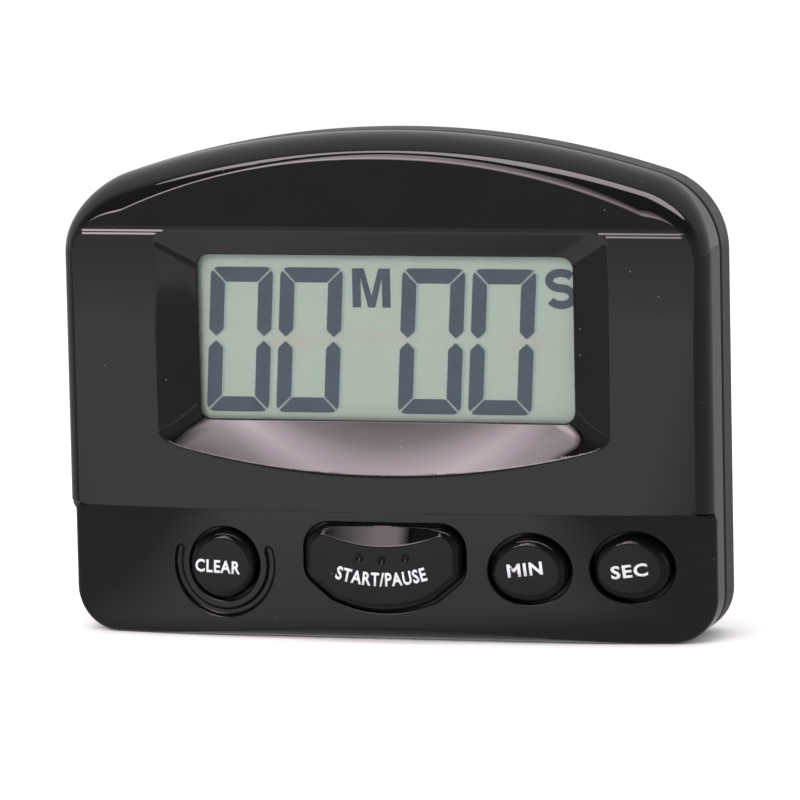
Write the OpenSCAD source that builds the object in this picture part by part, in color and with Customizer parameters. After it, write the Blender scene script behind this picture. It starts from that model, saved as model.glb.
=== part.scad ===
// Countdown timer with a segment display, four keys, a fold-out stand and a back magnet.
// X runs to the right, Y runs from front to back and Z runs up. The case stands on z = 0.

/* [Case] */
// Width of the case at the parting line
case_w = 88; // [86:1:106]
// Height of the case at the middle of its arched top
case_h = 67.2; // [66:0.2:82]
// Thickness of the case from the front panel to the back face
case_t = 17.5; // [17:0.5:22]
// Depth of the front shell, from the panel to the parting groove
front_d = 8.8; // [8.8:0.1:9.4]
// Radius of the arched top
top_r = 120; // [110:5:180]
// Radius of the upper corners
upper_corner_r = 11; // [8:0.5:14]
// Radius of the lower corners
lower_corner_r = 6; // [5:0.5:9]
// Thickness of the side walls
side_wall = 2; // [1.8:0.1:2.4]
// Thickness of the front wall
front_wall = 1.8; // [1.5:0.1:2]
// Thickness of the back wall
back_wall = 1.8; // [1.5:0.1:2.2]
// Width of the shadow groove between the two shells
groove_w = 0.6; // [0.4:0.1:0.8]
// Depth of the shadow groove
groove_d = 1.1; // [0.8:0.1:1.2]

/* [Front face] */
// Distance from the top of the arch down to the foot of the sloping visor
visor_h = 11.8; // [10:0.1:14]
// Backward lean of the visor, in degrees
visor_angle = 9.7; // [6:0.1:12]
// Height of the key deck below the panel's step
deck_h = 17.2; // [16.6:0.1:18]
// How far the crowned key deck has fallen back at the sides of the case
deck_drop = 3.75; // [2:0.25:4]

/* [Display] */
// Width of the display window
window_w = 51.2; // [46:0.2:54]
// Height of the display window
window_h = 21.95; // [20:0.05:22]
// Depth of the bevelled recess around the window
bezel_d = 2.3; // [2:0.1:2.4]
// Thickness of the clear lens
lens_t = 0.6; // [0.5:0.05:0.6]
// Thickness of each glass of the display cell
glass_t = 1.1; // [0.7:0.1:1.1]

/* [Keys] */
// Diameter of the round clear key
clear_d = 9.2; // [8:0.1:10]
// Width of the start key
start_w = 21.4; // [18:0.2:22]
// Width of the minute and second keys
egg_w = 10.4; // [9:0.1:11]
// How far the keys stand proud of the deck
key_proud = 1.5; // [1:0.1:2]
// Travel of the keys
key_travel = 0.8; // [0.5:0.1:1]
// Gap around a key in its opening
key_gap = 0.35; // [0.25:0.05:0.5]

/* [Circuit] */
// Thickness of the circuit board
board_t = 1; // [0.8:0.1:1.2]
// Diameter of the sounder disc
buzzer_d = 18; // [15:0.5:18]
// Thickness of the silicone key mat
mat_t = 0.8; // [0.6:0.1:0.9]

/* [Power] */
// Diameter of the button cell
cell_d = 11.6; // [9.5:0.1:12.5]
// Height of the button cell
cell_t = 5.4; // [3.6:0.1:5.4]
// Diameter of the battery cover
cover_d = 17.2; // [16.4:0.1:18]

/* [Back] */
// Diameter of the magnet
magnet_d = 17; // [12:0.5:17]
// Thickness of the magnet
magnet_t = 3; // [2:0.1:3]
// Width of the fold-out stand leg
leg_w = 32; // [24:0.5:44]
// Length of the stand leg from its hinge to its foot
leg_l = 25.4; // [18:0.1:26]
// Thickness of the stand leg
leg_t = 2.2; // [2:0.1:2.6]
// Diameter of the steel hinge pin
pin_d = 1; // [0.8:0.1:1.2]
// Radial running clearance of the leg on its pin
pin_fit = 0.05; // [0.03:0.01:0.1]

/* [Hidden] */
$fn = 64;

eps = 0.01;
half_w = case_w / 2;
arch_z = case_h - top_r;
deck_r = (half_w * half_w + deck_drop * deck_drop) / (2 * deck_drop);
// The box is centred on Y between the start key's face and the back face.
mid_y = (case_t - key_proud) / 2;

// Rounding of the front edges: radius, and where each arc meets the outer wall
side_edge_r = 4.25;
side_edge_y = 3.4;
top_edge_r = 7;
top_edge_y = 7.2;
back_edge_r = 4.6;
back_edge_y = case_t - back_edge_r;
edge_steps = [0, 0.35, 0.9, 1.7, 3, 5];

// Parting line
rear_y = front_d + groove_w;
tongue_t = 0.9;
tongue_h = 0.7;
tongue_gap = 0.1;

// Front face
visor_z = case_h - visor_h;
bezel_top_z = visor_z - 1;
bezel_lip = 3.3;
bezel_side = 5.25;
window_top_z = bezel_top_z - bezel_lip;
window_z = window_top_z - window_h;
window_corner_r = 1.6;
bezel_half_w = window_w / 2 + bezel_side;
bezel_arc_r = 108;
bezel_foot = 7.15;
bezel_bottom_z = window_z - bezel_foot;
bezel_corner_r = 2.5;
groove_line_w = 0.5;
groove_line_z = visor_z - 1.1;
groove_line_end = 3;
window_lip = 0.5;

// Display stack, from the lens seat backwards
lens_y = bezel_d + window_lip + 0.05;
lens_margin = 2.3;
glass_y = lens_y + lens_t + 0.05;
glass_margin = 1.7;
glass_w = window_w + 2 * glass_margin;
glass_top_z = window_top_z + glass_margin;
glass_low_z = window_z - glass_margin;
ledge_h = 3;
rear_glass_y = glass_y + glass_t;
reflector_y = rear_glass_y + glass_t;
reflector_t = 0.2;
board_y = front_d - 0.4;
board_back_y = board_y + board_t;
zebra_h = 2.2;
blob_z = 38;
blob_r = 9;
blob_sink = 7;
crystal_r = 1;
crystal_l = 6;
chip_w = 1.25;
chip_l = 2;
capacitor_z = 26;
capacitor_h = 0.9;
resistor_z = 22.5;
resistor_h = 0.5;
pocket_gap = 0.3;
pocket_wall = 1.2;

// Keys: centre, and the deck's set-back there
clear_from_side = 21.6;
clear_x = -half_w + clear_from_side;
clear_z = 9.85;
start_x = -0.1;
start_z = 9.9;
second_from_side = 10.95;
second_x = half_w - second_from_side;
second_z = 10.35;
key_pitch = 13.55;
minute_x = second_x - key_pitch;
minute_z = 10.05;
flange_out = 0.8;
flange_t = 0.8;
stem_r = 2.2;
dome_wall = 0.5;
pill_r = 1.7;
pill_t = 0.5;
key_set = 0.05;
// The pill stops just short of the board when the key is fully pressed.
dome_y = board_y - key_travel - pill_t - dome_wall - 2 * key_set;
dimple_r = 0.55;
dimple_d = 0.3;
scoop_r = 3;
scoop_d = 0.8;
arc_groove_r = 7.2;
arc_groove_w = 1.3;
arc_groove_d = 0.6;

// Back
back_in_y = case_t - back_wall;
buzzer_x = -20.5;
buzzer_z = case_h - 23;
buzzer_set = 1.4;
buzzer_y = back_in_y - buzzer_set;
hole_r = 0.7;
hole_ring = 3.2;
disc_t = 0.25;
ceramic_t = 0.25;
battery_x = 22;
battery_z = case_h - 23;
cover_t = 1.2;
cover_gap = 0.2;
lug_out = 1;
lug_t = 0.8;
lug_angle = 28;
cover_turn = 30;
cell_y = case_t - cover_t - lug_t - 0.1 - cell_t;
cell_gap = 0.3;
clip_w = 3;
clip_t = 0.3;
clip_h = 3;
cup_wall = 1;
magnet_x = 0;
magnet_z = case_h - 19.5;
magnet_y = case_t - 0.2 - magnet_t;
pocket_floor = 1;
hinge_y = case_t - leg_t / 2;
hinge_z = 31;
leg_gap = 0.3;
leg_foot_z = hinge_z - leg_l;
recess_y = case_t - leg_t - 0.2;
pin_bite = 2.2;
pin_l = leg_w + 2 * leg_gap + 2 * pin_bite;

// Screws: [x, z] of each; the upper ones hang a set distance below the arch at their own x.
low_case_screw = [half_w - 6, deck_h + 5.3];
high_case_screw_x = half_w - 9;
high_case_screw = [high_case_screw_x, arch_top(high_case_screw_x) - 11.98];
low_board_screw = [24, deck_h + 3.1];
high_board_screw_x = half_w - 12.5;
high_board_screw = [high_board_screw_x, arch_top(high_board_screw_x) - 5.69];
case_screw_at = both_sides([low_case_screw, high_case_screw]);
board_screw_at = both_sides([low_board_screw, high_board_screw]);
screw_r = 1.1;
screw_head_r = 2.2;
screw_head_h = 1.5;
screw_pilot_r = 0.95;
screw_tip_y = 4.6;
boss_r = 2.9;
head_seat_y = case_t - 4.3;
board_screw_r = 0.8;
board_screw_pilot_r = 0.65;
board_screw_head_r = 1.5;
board_screw_head_h = 1;
board_boss_r = 1.9;

// Each [x, z] on the left and on the right
function both_sides(points) = [for (p = points) for (s = [-1, 1]) [s * p[0], p[1]]];

// Height of the arched top at x
function arch_top(x) = arch_z + sqrt(top_r * top_r - x * x);

// Depth of the crowned deck behind the panel plane at x
function deck_y(x) = deck_r - sqrt(deck_r * deck_r - x * x);

// How far a rounded edge of radius r, which ends at depth at, has drawn in at depth y
function drawn_in(r, at, y) = y >= at ? 0 : r - sqrt(max(0, r * r - (at - y) * (at - y)));

module place() {
    translate([0, -mid_y, 0]) children();
}

// A flat XZ outline as a plate between two depths
module plate(y0, y1) {
    translate([0, y1, 0]) rotate([90, 0, 0]) linear_extrude(y1 - y0) children();
}

// A round bar along Y between two depths
module bar(x, z, y0, y1, r) {
    translate([x, y1, z]) rotate([90, 0, 0]) cylinder(h = y1 - y0, r = r);
}

module box(x0, x1, y0, y1, z0, z1) {
    translate([x0, y0, z0]) cube([x1 - x0, y1 - y0, z1 - z0]);
}

// Outline of the case: flat foot, straight sides and an arched top, drawn in by side and top
module case_outline(side = 0, top = 0) {
    w = half_w - side;
    r = top_r - top;
    upper = upper_corner_r - side;
    lower = lower_corner_r - side;
    corner_x = w - upper;
    corner_z = arch_z + sqrt((r - upper) * (r - upper) - corner_x * corner_x);
    reach = [corner_x, corner_z - arch_z] / (r - upper);
    tip = [corner_x, corner_z] + reach * (upper + 12);
    for (s = [-1, 1]) {
        translate([s * corner_x, corner_z]) circle(upper);
        translate([s * (w - lower), side + lower]) circle(lower);
    }
    intersection() {
        translate([0, arch_z]) circle(r, $fn = 240);
        polygon([[-corner_x, corner_z], [corner_x, corner_z], tip, [-tip[0], tip[1]]]);
    }
    translate([-w, side + lower]) square([2 * w, corner_z - side - lower]);
    translate([-w + lower, side]) square([2 * (w - lower), corner_z - side]);
}

// The same outline, one band of depth of a rounded shell
module case_layer(y0, y1, side, top) {
    plate(y0, y1) case_outline(side, top, $fn = 36);
}

module rounded_rect(x0, x1, z0, z1, r) {
    for (x = [x0 + r, x1 - r])
        for (z = [z0 + r, z1 - r]) translate([x, z]) circle(r);
    translate([x0 + r, z0]) square([x1 - x0 - 2 * r, z1 - z0]);
    translate([x0, z0 + r]) square([x1 - x0, z1 - z0 - 2 * r]);
}

// Outline of the start key: nearly straight top, upright sides and a bowed foot
module start_outline(grow) {
    foot_r = 16.1;
    translate([start_x, start_z]) intersection() {
        hull() {
            for (s = [-1, 1]) {
                translate([s * (start_w / 2 - 3.2), 2.4]) circle(3.2 + grow);
                translate([s * (start_w / 2 - 2.6), 0.2]) circle(2.6 + grow);
                translate([s * (start_w / 2 - 5), -2.6]) circle(2 + grow);
            }
            translate([-4, -6]) square([8, 10]);
        }
        translate([0, foot_r - 5.7]) circle(foot_r + grow, $fn = 128);
    }
}

// Outline of the minute and second keys: an egg with its narrow end up
module egg_outline(x, z, grow) {
    translate([x, z]) hull() {
        translate([0, 0.95]) circle(3.4 + grow);
        for (s = [-1, 1]) translate([s * (egg_w / 2 - 3.1), -0.6]) circle(3.1 + grow);
        translate([0, -0.15]) circle(4.2 + grow);
    }
}

module clear_outline(grow) {
    translate([clear_x, clear_z]) circle(clear_d / 2 + grow);
}

// Solid outer form of the front shell: rounded edges, leaning visor and crowned deck
module front_form() {
    difference() {
        intersection() {
            hull() {
                for (y = edge_steps)
                    case_layer(y, y + eps, drawn_in(side_edge_r, side_edge_y, y),
                        drawn_in(top_edge_r, top_edge_y, y));
                case_layer(top_edge_y, front_d, 0, 0);
            }
            translate([0, 0, visor_z]) rotate([-visor_angle, 0, 0])
                translate([-case_w, 0, -case_h * 2]) cube([case_w * 2, case_t * 2, case_h * 4]);
        }
        difference() {
            box(-case_w, case_w, -1, side_edge_y + 4, -1, deck_h);
            translate([0, deck_r, -2]) cylinder(h = deck_h + 4, r = deck_r, $fn = 720);
        }
    }
}

// Hollow behind the front wall
module front_hollow() {
    ledge_z = deck_h + front_wall;
    intersection() {
        plate(front_wall, side_edge_y + 0.6) case_outline(4, 4);
        box(-case_w, case_w, 0, case_t, ledge_z, visor_z - 1);
    }
    intersection() {
        plate(side_edge_y + 0.6, case_t) case_outline(side_wall, side_wall);
        box(-case_w, case_w, 0, case_t, ledge_z, case_h);
    }
    intersection() {
        plate(0, case_t) case_outline(side_wall, side_wall);
        box(-case_w, case_w, 0, case_t, 0, ledge_z);
        translate([0, deck_r, -1]) cylinder(h = ledge_z + 2, r = deck_r - front_wall, $fn = 720);
    }
}

module bezel_outline() {
    intersection() {
        rounded_rect(-bezel_half_w, bezel_half_w, bezel_bottom_z - 6, bezel_top_z, bezel_corner_r);
        translate([0, bezel_bottom_z + bezel_arc_r]) circle(bezel_arc_r, $fn = 240);
    }
}

module window_outline(grow, r) {
    rounded_rect(-window_w / 2 - grow, window_w / 2 + grow, window_z - grow, window_top_z + grow, r);
}

module front_casing() place() color([0.09, 0.09, 0.1]) difference() {
    union() {
        difference() {
            front_form();
            front_hollow();
        }
        // Block around the window that carries the bevels and the lens seat
        plate(front_wall - eps, glass_y - 0.05)
            rounded_rect(-bezel_half_w - 1.2, bezel_half_w + 1.2, bezel_bottom_z - 0.5, visor_z - 0.5, 2);
        // Pocket walls that locate the display cell
        plate(glass_y - 0.1, board_y - 0.2)
            rounded_rect(-glass_w / 2 - pocket_gap - pocket_wall, glass_w / 2 + pocket_gap + pocket_wall,
                glass_low_z - ledge_h - pocket_gap - pocket_wall, glass_top_z + pocket_gap + pocket_wall, 1);
        for (p = case_screw_at) bar(p[0], p[1], front_wall, board_back_y, boss_r);
        for (p = board_screw_at) bar(p[0], p[1], front_wall, board_y, board_boss_r);
    }
    // Bevelled recess and the window through its floor
    hull() {
        plate(-1, 0) bezel_outline($fn = 32);
        plate(bezel_d - eps, bezel_d) window_outline(0, window_corner_r, $fn = 32);
    }
    plate(0, glass_y) window_outline(0, window_corner_r);
    plate(lens_y - 0.05, glass_y) window_outline(lens_margin + 0.1, window_corner_r);
    // Room for the display cell
    plate(glass_y - 0.05, case_t) square_between(glass_w / 2 + pocket_gap, glass_low_z - ledge_h - pocket_gap,
        glass_top_z + pocket_gap);
    // Fine double line under the visor, each side of the bezel
    line_l = half_w - bezel_half_w - groove_line_end;
    for (s = [-1, 1])
        translate([s * (bezel_half_w + line_l / 2 - 0.4), 0, groove_line_z]) rotate([45, 0, 0])
            cube([line_l + 1.6, groove_line_w, groove_line_w], center = true);
    // Key openings
    plate(-2, board_y) clear_outline(key_gap);
    plate(-2, board_y) start_outline(key_gap);
    plate(-2, board_y) egg_outline(minute_x, minute_z, key_gap);
    plate(-2, board_y) egg_outline(second_x, second_z, key_gap);
    // Arc groove round the clear key
    plate(-1, deck_y(clear_x) + arc_groove_d) intersection() {
        difference() {
            translate([clear_x, clear_z]) circle(arc_groove_r);
            translate([clear_x, clear_z]) circle(arc_groove_r - arc_groove_w);
        }
        translate([clear_x - 10, clear_z - 10]) square([20, 12.5]);
    }
    // Rebate for the rear shell's tongue
    plate(front_d - tongue_h - 0.1, front_d + 1) case_outline(groove_d - tongue_gap, groove_d - tongue_gap);
    // Pilot holes
    for (p = case_screw_at) bar(p[0], p[1], screw_tip_y - 0.6, board_back_y + 1, screw_pilot_r);
    for (p = board_screw_at) bar(p[0], p[1], board_y - 4, board_y + 1, board_screw_pilot_r);
}

module square_between(half, z0, z1) {
    translate([-half, z0]) square([2 * half, z1 - z0]);
}

// Solid outer form of the rear shell, rounded towards the back face
module rear_form() {
    hull() {
        case_layer(rear_y, back_edge_y, 0, 0);
        for (a = [22.5 : 22.5 : 90]) {
            in = back_edge_r * (1 - cos(a));
            y = back_edge_y + back_edge_r * sin(a);
            case_layer(y - eps, y, in, in);
        }
    }
}

module rear_casing() place() color([0.1, 0.1, 0.11]) difference() {
    union() {
        difference() {
            rear_form();
            plate(0, case_t - 3.5) case_outline(side_wall, side_wall);
            plate(0, back_in_y) case_outline(side_wall + 1.2, side_wall + 1.2);
        }
        // Tongue that enters the front shell and floors the shadow groove
        difference() {
            plate(front_d - tongue_h, rear_y + 1) case_outline(groove_d, groove_d);
            plate(0, case_t - 3.5) case_outline(groove_d + tongue_t, groove_d + tongue_t);
        }
        for (p = case_screw_at) bar(p[0], p[1], board_back_y + 0.1, case_t - 1, boss_r + 0.4);
        // Battery cup, magnet pocket, stand recess and the sounder's ring
        bar(battery_x, battery_z, cell_y, case_t - 1, cover_d / 2 + cover_gap + lug_out + 0.1 + cup_wall);
        bar(magnet_x, magnet_z, magnet_y - pocket_floor, case_t - 1, magnet_d / 2 + cup_wall + 0.1);
        box(-pin_l / 2 - 0.6, pin_l / 2 + 0.6, recess_y - 1.2, case_t - 1,
            leg_foot_z - 4.5, hinge_z + leg_t / 2 + 1.8);
        difference() {
            bar(buzzer_x, buzzer_z, buzzer_y + disc_t, case_t - 1, buzzer_d / 2);
            bar(buzzer_x, buzzer_z, 0, back_in_y, buzzer_d / 2 - 1.2);
        }
    }
    // Screw wells and shank holes
    for (p = case_screw_at) {
        bar(p[0], p[1], head_seat_y, case_t + 1, screw_head_r + 0.35);
        bar(p[0], p[1], 0, case_t, screw_r + 0.15);
    }
    // Cell, lug channel, cover opening and its three entry notches
    bar(battery_x, battery_z, cell_y - 1, case_t, cell_d / 2 + cell_gap);
    box(battery_x - clip_w / 2 - 0.3, battery_x + clip_w / 2 + 0.3, cell_y - 1, cell_y + clip_h + 0.3,
        battery_z - cell_d / 2 - cell_gap - clip_t - 0.3, battery_z);
    bar(battery_x, battery_z, cell_y + cell_t + 0.05, case_t - cover_t, cover_d / 2 + cover_gap + lug_out + 0.1);
    bar(battery_x, battery_z, case_t - cover_t - 0.6, case_t + 1, cover_d / 2 + cover_gap);
    plate(case_t - cover_t - 0.5, case_t + 1) translate([battery_x, battery_z])
        lug_sectors(cover_d / 2 + cover_gap + lug_out, lug_angle + 4, -cover_turn);
    // Magnet pocket, open at the back
    bar(magnet_x, magnet_z, magnet_y, case_t + 1, magnet_d / 2 + 0.1);
    // Stand recess, its finger scoop and the pin's hole
    box(-leg_w / 2 - leg_gap, leg_w / 2 + leg_gap, recess_y, case_t + 1,
        leg_foot_z - leg_gap, hinge_z + leg_t / 2 + leg_gap);
    translate([0, case_t, leg_foot_z]) rotate([90, 0, 0]) cylinder(h = 2 * leg_t, r = 3, center = true);
    translate([-pin_l / 2, hinge_y, hinge_z]) rotate([0, 90, 0]) cylinder(h = pin_l, r = pin_d / 2);
    // Sound holes
    bar(buzzer_x, buzzer_z, case_t - 4, case_t + 1, hole_r);
    for (a = [0 : 60 : 300])
        bar(buzzer_x + hole_ring * cos(a), buzzer_z + hole_ring * sin(a), case_t - 4, case_t + 1, hole_r);
}

// Three pie sectors of the given radius and width, the first centred on turn
module lug_sectors(r, width, turn) {
    for (a = [90, 210, 330]) rotate(a + turn) intersection() {
        circle(r);
        polygon([[0, 0], [2 * r, -2 * r * tan(width / 2)], [2 * r, 2 * r * tan(width / 2)]]);
    }
}

module lens_window() place() color([0.8, 0.85, 0.85, 0.3])
    plate(lens_y, lens_y + lens_t) window_outline(lens_margin, window_corner_r);

module display_front_glass() place() color([0.6, 0.66, 0.58])
    plate(glass_y, rear_glass_y) square_between(glass_w / 2, glass_low_z - ledge_h, glass_top_z);

module display_rear_glass() place() color([0.55, 0.6, 0.53])
    plate(rear_glass_y, reflector_y) square_between(glass_w / 2, glass_low_z, glass_top_z);

module display_reflector() place() color([0.75, 0.77, 0.75])
    plate(reflector_y, reflector_y + reflector_t)
        square_between(window_w / 2 + 0.5, window_z - 0.5, window_top_z + 0.5);

module zebra_strip() place() color([0.75, 0.45, 0.5])
    box(-glass_w / 2 + 1, glass_w / 2 - 1, rear_glass_y, board_y, glass_low_z - ledge_h + 0.4,
        glass_low_z - ledge_h + 0.4 + zebra_h);

module circuit_board() place() color([0.12, 0.4, 0.2]) difference() {
    plate(board_y, board_back_y) case_outline(3.3, 3.3);
    for (p = case_screw_at) bar(p[0], p[1], 0, case_t, boss_r + 0.7);
    for (p = board_screw_at) bar(p[0], p[1], 0, case_t, board_screw_r + 0.15);
}

// Cap of epoxy over the bare chip: a slice of a ball on the board's back
module chip_blob() place() color([0.05, 0.05, 0.05]) intersection() {
    translate([0, board_back_y - blob_sink, blob_z]) sphere(blob_r, $fn = 96);
    box(-blob_r, blob_r, board_back_y, board_back_y + blob_r, blob_z - blob_r, blob_z + blob_r);
}

module timing_crystal() place() color([0.75, 0.75, 0.78])
    translate([-8, board_back_y + crystal_r, 52]) rotate([0, 90, 0]) cylinder(h = crystal_l, r = crystal_r);

module chip_capacitors() place() color([0.7, 0.55, 0.35])
    for (x = [-14, -11.5, 10, 12.5])
        box(x, x + chip_w, board_back_y, board_back_y + capacitor_h, capacitor_z, capacitor_z + chip_l);

module chip_resistors() place() color([0.08, 0.08, 0.08])
    for (x = [-14, -11.5, -9, 10, 12.5])
        box(x, x + chip_w, board_back_y, board_back_y + resistor_h, resistor_z, resistor_z + chip_l);

// Drum coil that steps up the sounder's voltage
module tuning_coil() place() color([0.55, 0.3, 0.12])
    translate([-26, board_back_y, 27]) rotate([-90, 0, 0]) rotate_extrude()
        polygon([[0, 0], [2.2, 0], [2.2, 0.8], [1.5, 0.8], [1.5, 2.8], [2.2, 2.8], [2.2, 3.6], [0, 3.6]]);

// Silicone mat with a hollow dome behind each key
module keypad_mat() place() color([0.7, 0.72, 0.74]) difference() {
    union() {
        box(clear_x - 7, second_x + 7, board_y - mat_t, board_y, 3.4, 16.6);
        for (k = key_at()) translate([k[0], board_y - mat_t, k[1]]) rotate([90, 0, 0])
            cylinder(h = board_y - mat_t - dome_y, r1 = 3.6, r2 = stem_r + 0.3);
    }
    for (k = key_at()) {
        translate([k[0], board_y + eps, k[1]]) rotate([90, 0, 0])
            cylinder(h = board_y - dome_y - dome_wall, r1 = 3.4, r2 = pill_r + 0.1);
    }
}

function key_at() = [[clear_x, clear_z], [start_x, start_z], [minute_x, minute_z], [second_x, second_z]];

// Depth at which a key's flange stops against the deck's inner face, for the flange's outermost x
function flange_y(x) = deck_y(x) + front_wall + key_set;

module key_stem(x, z, y) {
    bar(x, z, y + flange_t - eps, dome_y - key_set, stem_r);
}

// Body of a key with a stepped round-over at its face
module key_body(y) {
    plate(y + 0.55, y + key_proud + 4) children(0);
    plate(y + 0.15, y + 0.56) children(1);
    plate(y, y + 0.16) children(2);
}

module clear_key() place() color([0.07, 0.07, 0.07]) {
    face = deck_y(clear_x) - key_proud + 0.2;
    stop = flange_y(abs(clear_x) + clear_d / 2 + flange_out);
    intersection() {
        key_body(face) {
            clear_outline(0);
            clear_outline(-0.25);
            clear_outline(-0.6);
        }
        plate(-5, stop + flange_t) clear_outline(1);
    }
    plate(stop, stop + flange_t) clear_outline(flange_out);
    key_stem(clear_x, clear_z, stop);
}

module start_key() place() color([0.07, 0.07, 0.07]) {
    face = -key_proud;
    stop = flange_y(start_w / 2 + flange_out + abs(start_x));
    difference() {
        intersection() {
            key_body(face) {
                start_outline(0);
                start_outline(-0.25);
                start_outline(-0.6);
            }
            plate(-5, stop + flange_t) start_outline(1);
        }
        // Crescent scoop along the top and the three dimples
        translate([start_x, face + scoop_d - scoop_r, start_z + 5.8]) rotate([0, 90, 0])
            cylinder(h = start_w * 2, r = scoop_r, center = true);
        for (x = [-1, 0, 1])
            bar(start_x + 3.14 * x, start_z + 1.3 + 0.2 * abs(x), face - 1, face + dimple_d, dimple_r);
    }
    plate(stop, stop + flange_t) start_outline(flange_out);
    key_stem(start_x, start_z, stop);
}

module egg_key(x, z) {
    face = deck_y(x) - key_proud + 0.2;
    stop = flange_y(x + egg_w / 2 + flange_out);
    intersection() {
        key_body(face) {
            egg_outline(x, z, 0);
            egg_outline(x, z, -0.25);
            egg_outline(x, z, -0.6);
        }
        plate(-5, stop + flange_t) egg_outline(x, z, 1);
    }
    plate(stop, stop + flange_t) egg_outline(x, z, flange_out - 0.1);
    key_stem(x, z, stop);
}

module minute_key() place() color([0.07, 0.07, 0.07]) egg_key(minute_x, minute_z);

module second_key() place() color([0.07, 0.07, 0.07]) egg_key(second_x, second_z);

// Carbon pill under a dome, clear of the board by a little more than the key's travel
module contact_pill(k) place() color([0.1, 0.1, 0.1])
    bar(k[0], k[1], dome_y + dome_wall + key_set, dome_y + dome_wall + key_set + pill_t, pill_r);

module buzzer_disc() place() color([0.8, 0.65, 0.3])
    bar(buzzer_x, buzzer_z, buzzer_y, buzzer_y + disc_t, buzzer_d / 2);

module buzzer_ceramic() place() color([0.85, 0.85, 0.82])
    bar(buzzer_x, buzzer_z, buzzer_y - ceramic_t, buzzer_y, buzzer_d / 2 - 3);

// Two contact springs between the board and the sounder, as stacked rings about a sleeve
module buzzer_springs() place() color([0.8, 0.8, 0.82]) {
    spring(buzzer_x - 1, buzzer_z - 2.5, buzzer_y - ceramic_t);
    spring(buzzer_x + 7.4, buzzer_z, buzzer_y);
}

module spring(x, z, end_y) {
    translate([x, board_back_y, z]) rotate([-90, 0, 0]) difference() {
        union() {
            cylinder(h = end_y - board_back_y, r = 0.75);
            for (i = [0 : 4])
                translate([0, 0, 0.2 + i * (end_y - board_back_y - 0.8) / 4]) cylinder(h = 0.4, r = 1);
        }
        translate([0, 0, -1]) cylinder(h = case_t, r = 0.55);
    }
}

module battery_cell() place() color([0.8, 0.8, 0.82]) union() {
    bar(battery_x, battery_z, cell_y + 0.4, cell_y + cell_t, cell_d / 2);
    bar(battery_x, battery_z, cell_y, cell_y + 0.41, cell_d / 2 - 1.2);
}

// Bent strip from the board whose bump presses on the side of the cell, in the cup's slot
module battery_clip() place() color([0.85, 0.85, 0.87]) {
    can_z = battery_z - cell_d / 2;
    strip_z = can_z - cell_gap;
    box(battery_x - clip_w / 2, battery_x + clip_w / 2, board_back_y, board_back_y + clip_t, strip_z - 3, strip_z);
    box(battery_x - clip_w / 2, battery_x + clip_w / 2, board_back_y, cell_y + clip_h, strip_z - clip_t, strip_z);
    box(battery_x - 0.6, battery_x + 0.6, cell_y + clip_h - 1.6, cell_y + clip_h - 0.8,
        strip_z - clip_t, can_z);
}

module battery_spring() place() color([0.85, 0.85, 0.87]) {
    box(battery_x - 2.5, battery_x + 2.5, board_back_y, board_back_y + 0.2, battery_z - 2, battery_z + 2);
    bar(battery_x, battery_z, board_back_y + 0.19, cell_y, 1.2);
}

module battery_cover() place() color([0.1, 0.1, 0.11]) difference() {
    union() {
        bar(battery_x, battery_z, case_t - cover_t - lug_t, case_t, cover_d / 2);
        plate(case_t - cover_t - lug_t, case_t - cover_t - 0.05) translate([battery_x, battery_z])
            lug_sectors(cover_d / 2 + lug_out, lug_angle, 0);
    }
    // Coin slot across the face
    box(battery_x - 5.5, battery_x + 5.5, case_t - 0.9, case_t + 1, battery_z - 0.9, battery_z + 0.9);
}

module back_magnet() place() color([0.2, 0.2, 0.21])
    bar(magnet_x, magnet_z, magnet_y, magnet_y + magnet_t, magnet_d / 2);

// Leg of the stand: a plate with a rounded hinge edge, two side rails and a bored barrel
module stand_leg() place() color([0.1, 0.1, 0.11]) difference() {
    union() {
        box(-leg_w / 2, leg_w / 2, case_t - leg_t, case_t, leg_foot_z, hinge_z);
        translate([-leg_w / 2, hinge_y, hinge_z]) rotate([0, 90, 0]) cylinder(h = leg_w, r = leg_t / 2);
    }
    translate([-leg_w, hinge_y, hinge_z]) rotate([0, 90, 0]) cylinder(h = 2 * leg_w, r = pin_d / 2 + pin_fit);
    // Shallow panel in the outer face
    box(-leg_w / 2 + 3, leg_w / 2 - 3, case_t - 0.5, case_t + 1, leg_foot_z + 4, hinge_z - 3);
}

module stand_hinge_pin() place() color([0.75, 0.75, 0.78])
    translate([-pin_l / 2, hinge_y, hinge_z]) rotate([0, 90, 0]) cylinder(h = pin_l, r = pin_d / 2);

// Pan-head self-tapping screw along Y with a cross recess, head at the back
module screw(x, z, seat_y, tip_y, r, head_r, head_h) {
    difference() {
        union() {
            bar(x, z, tip_y, seat_y + eps, r);
            bar(x, z, seat_y, seat_y + head_h, head_r);
        }
        box(x - head_r * 0.6, x + head_r * 0.6, seat_y + head_h * 0.45, seat_y + head_h + 1, z - 0.2, z + 0.2);
        box(x - 0.2, x + 0.2, seat_y + head_h * 0.45, seat_y + head_h + 1, z - head_r * 0.6, z + head_r * 0.6);
    }
}

module case_screws() place() color([0.6, 0.6, 0.62])
    for (p = case_screw_at) screw(p[0], p[1], head_seat_y, screw_tip_y, screw_r, screw_head_r, screw_head_h);

module board_screws() place() color([0.6, 0.6, 0.62])
    for (p = board_screw_at)
        screw(p[0], p[1], board_back_y, board_y - 3.4, board_screw_r, board_screw_head_r, board_screw_head_h);

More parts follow.
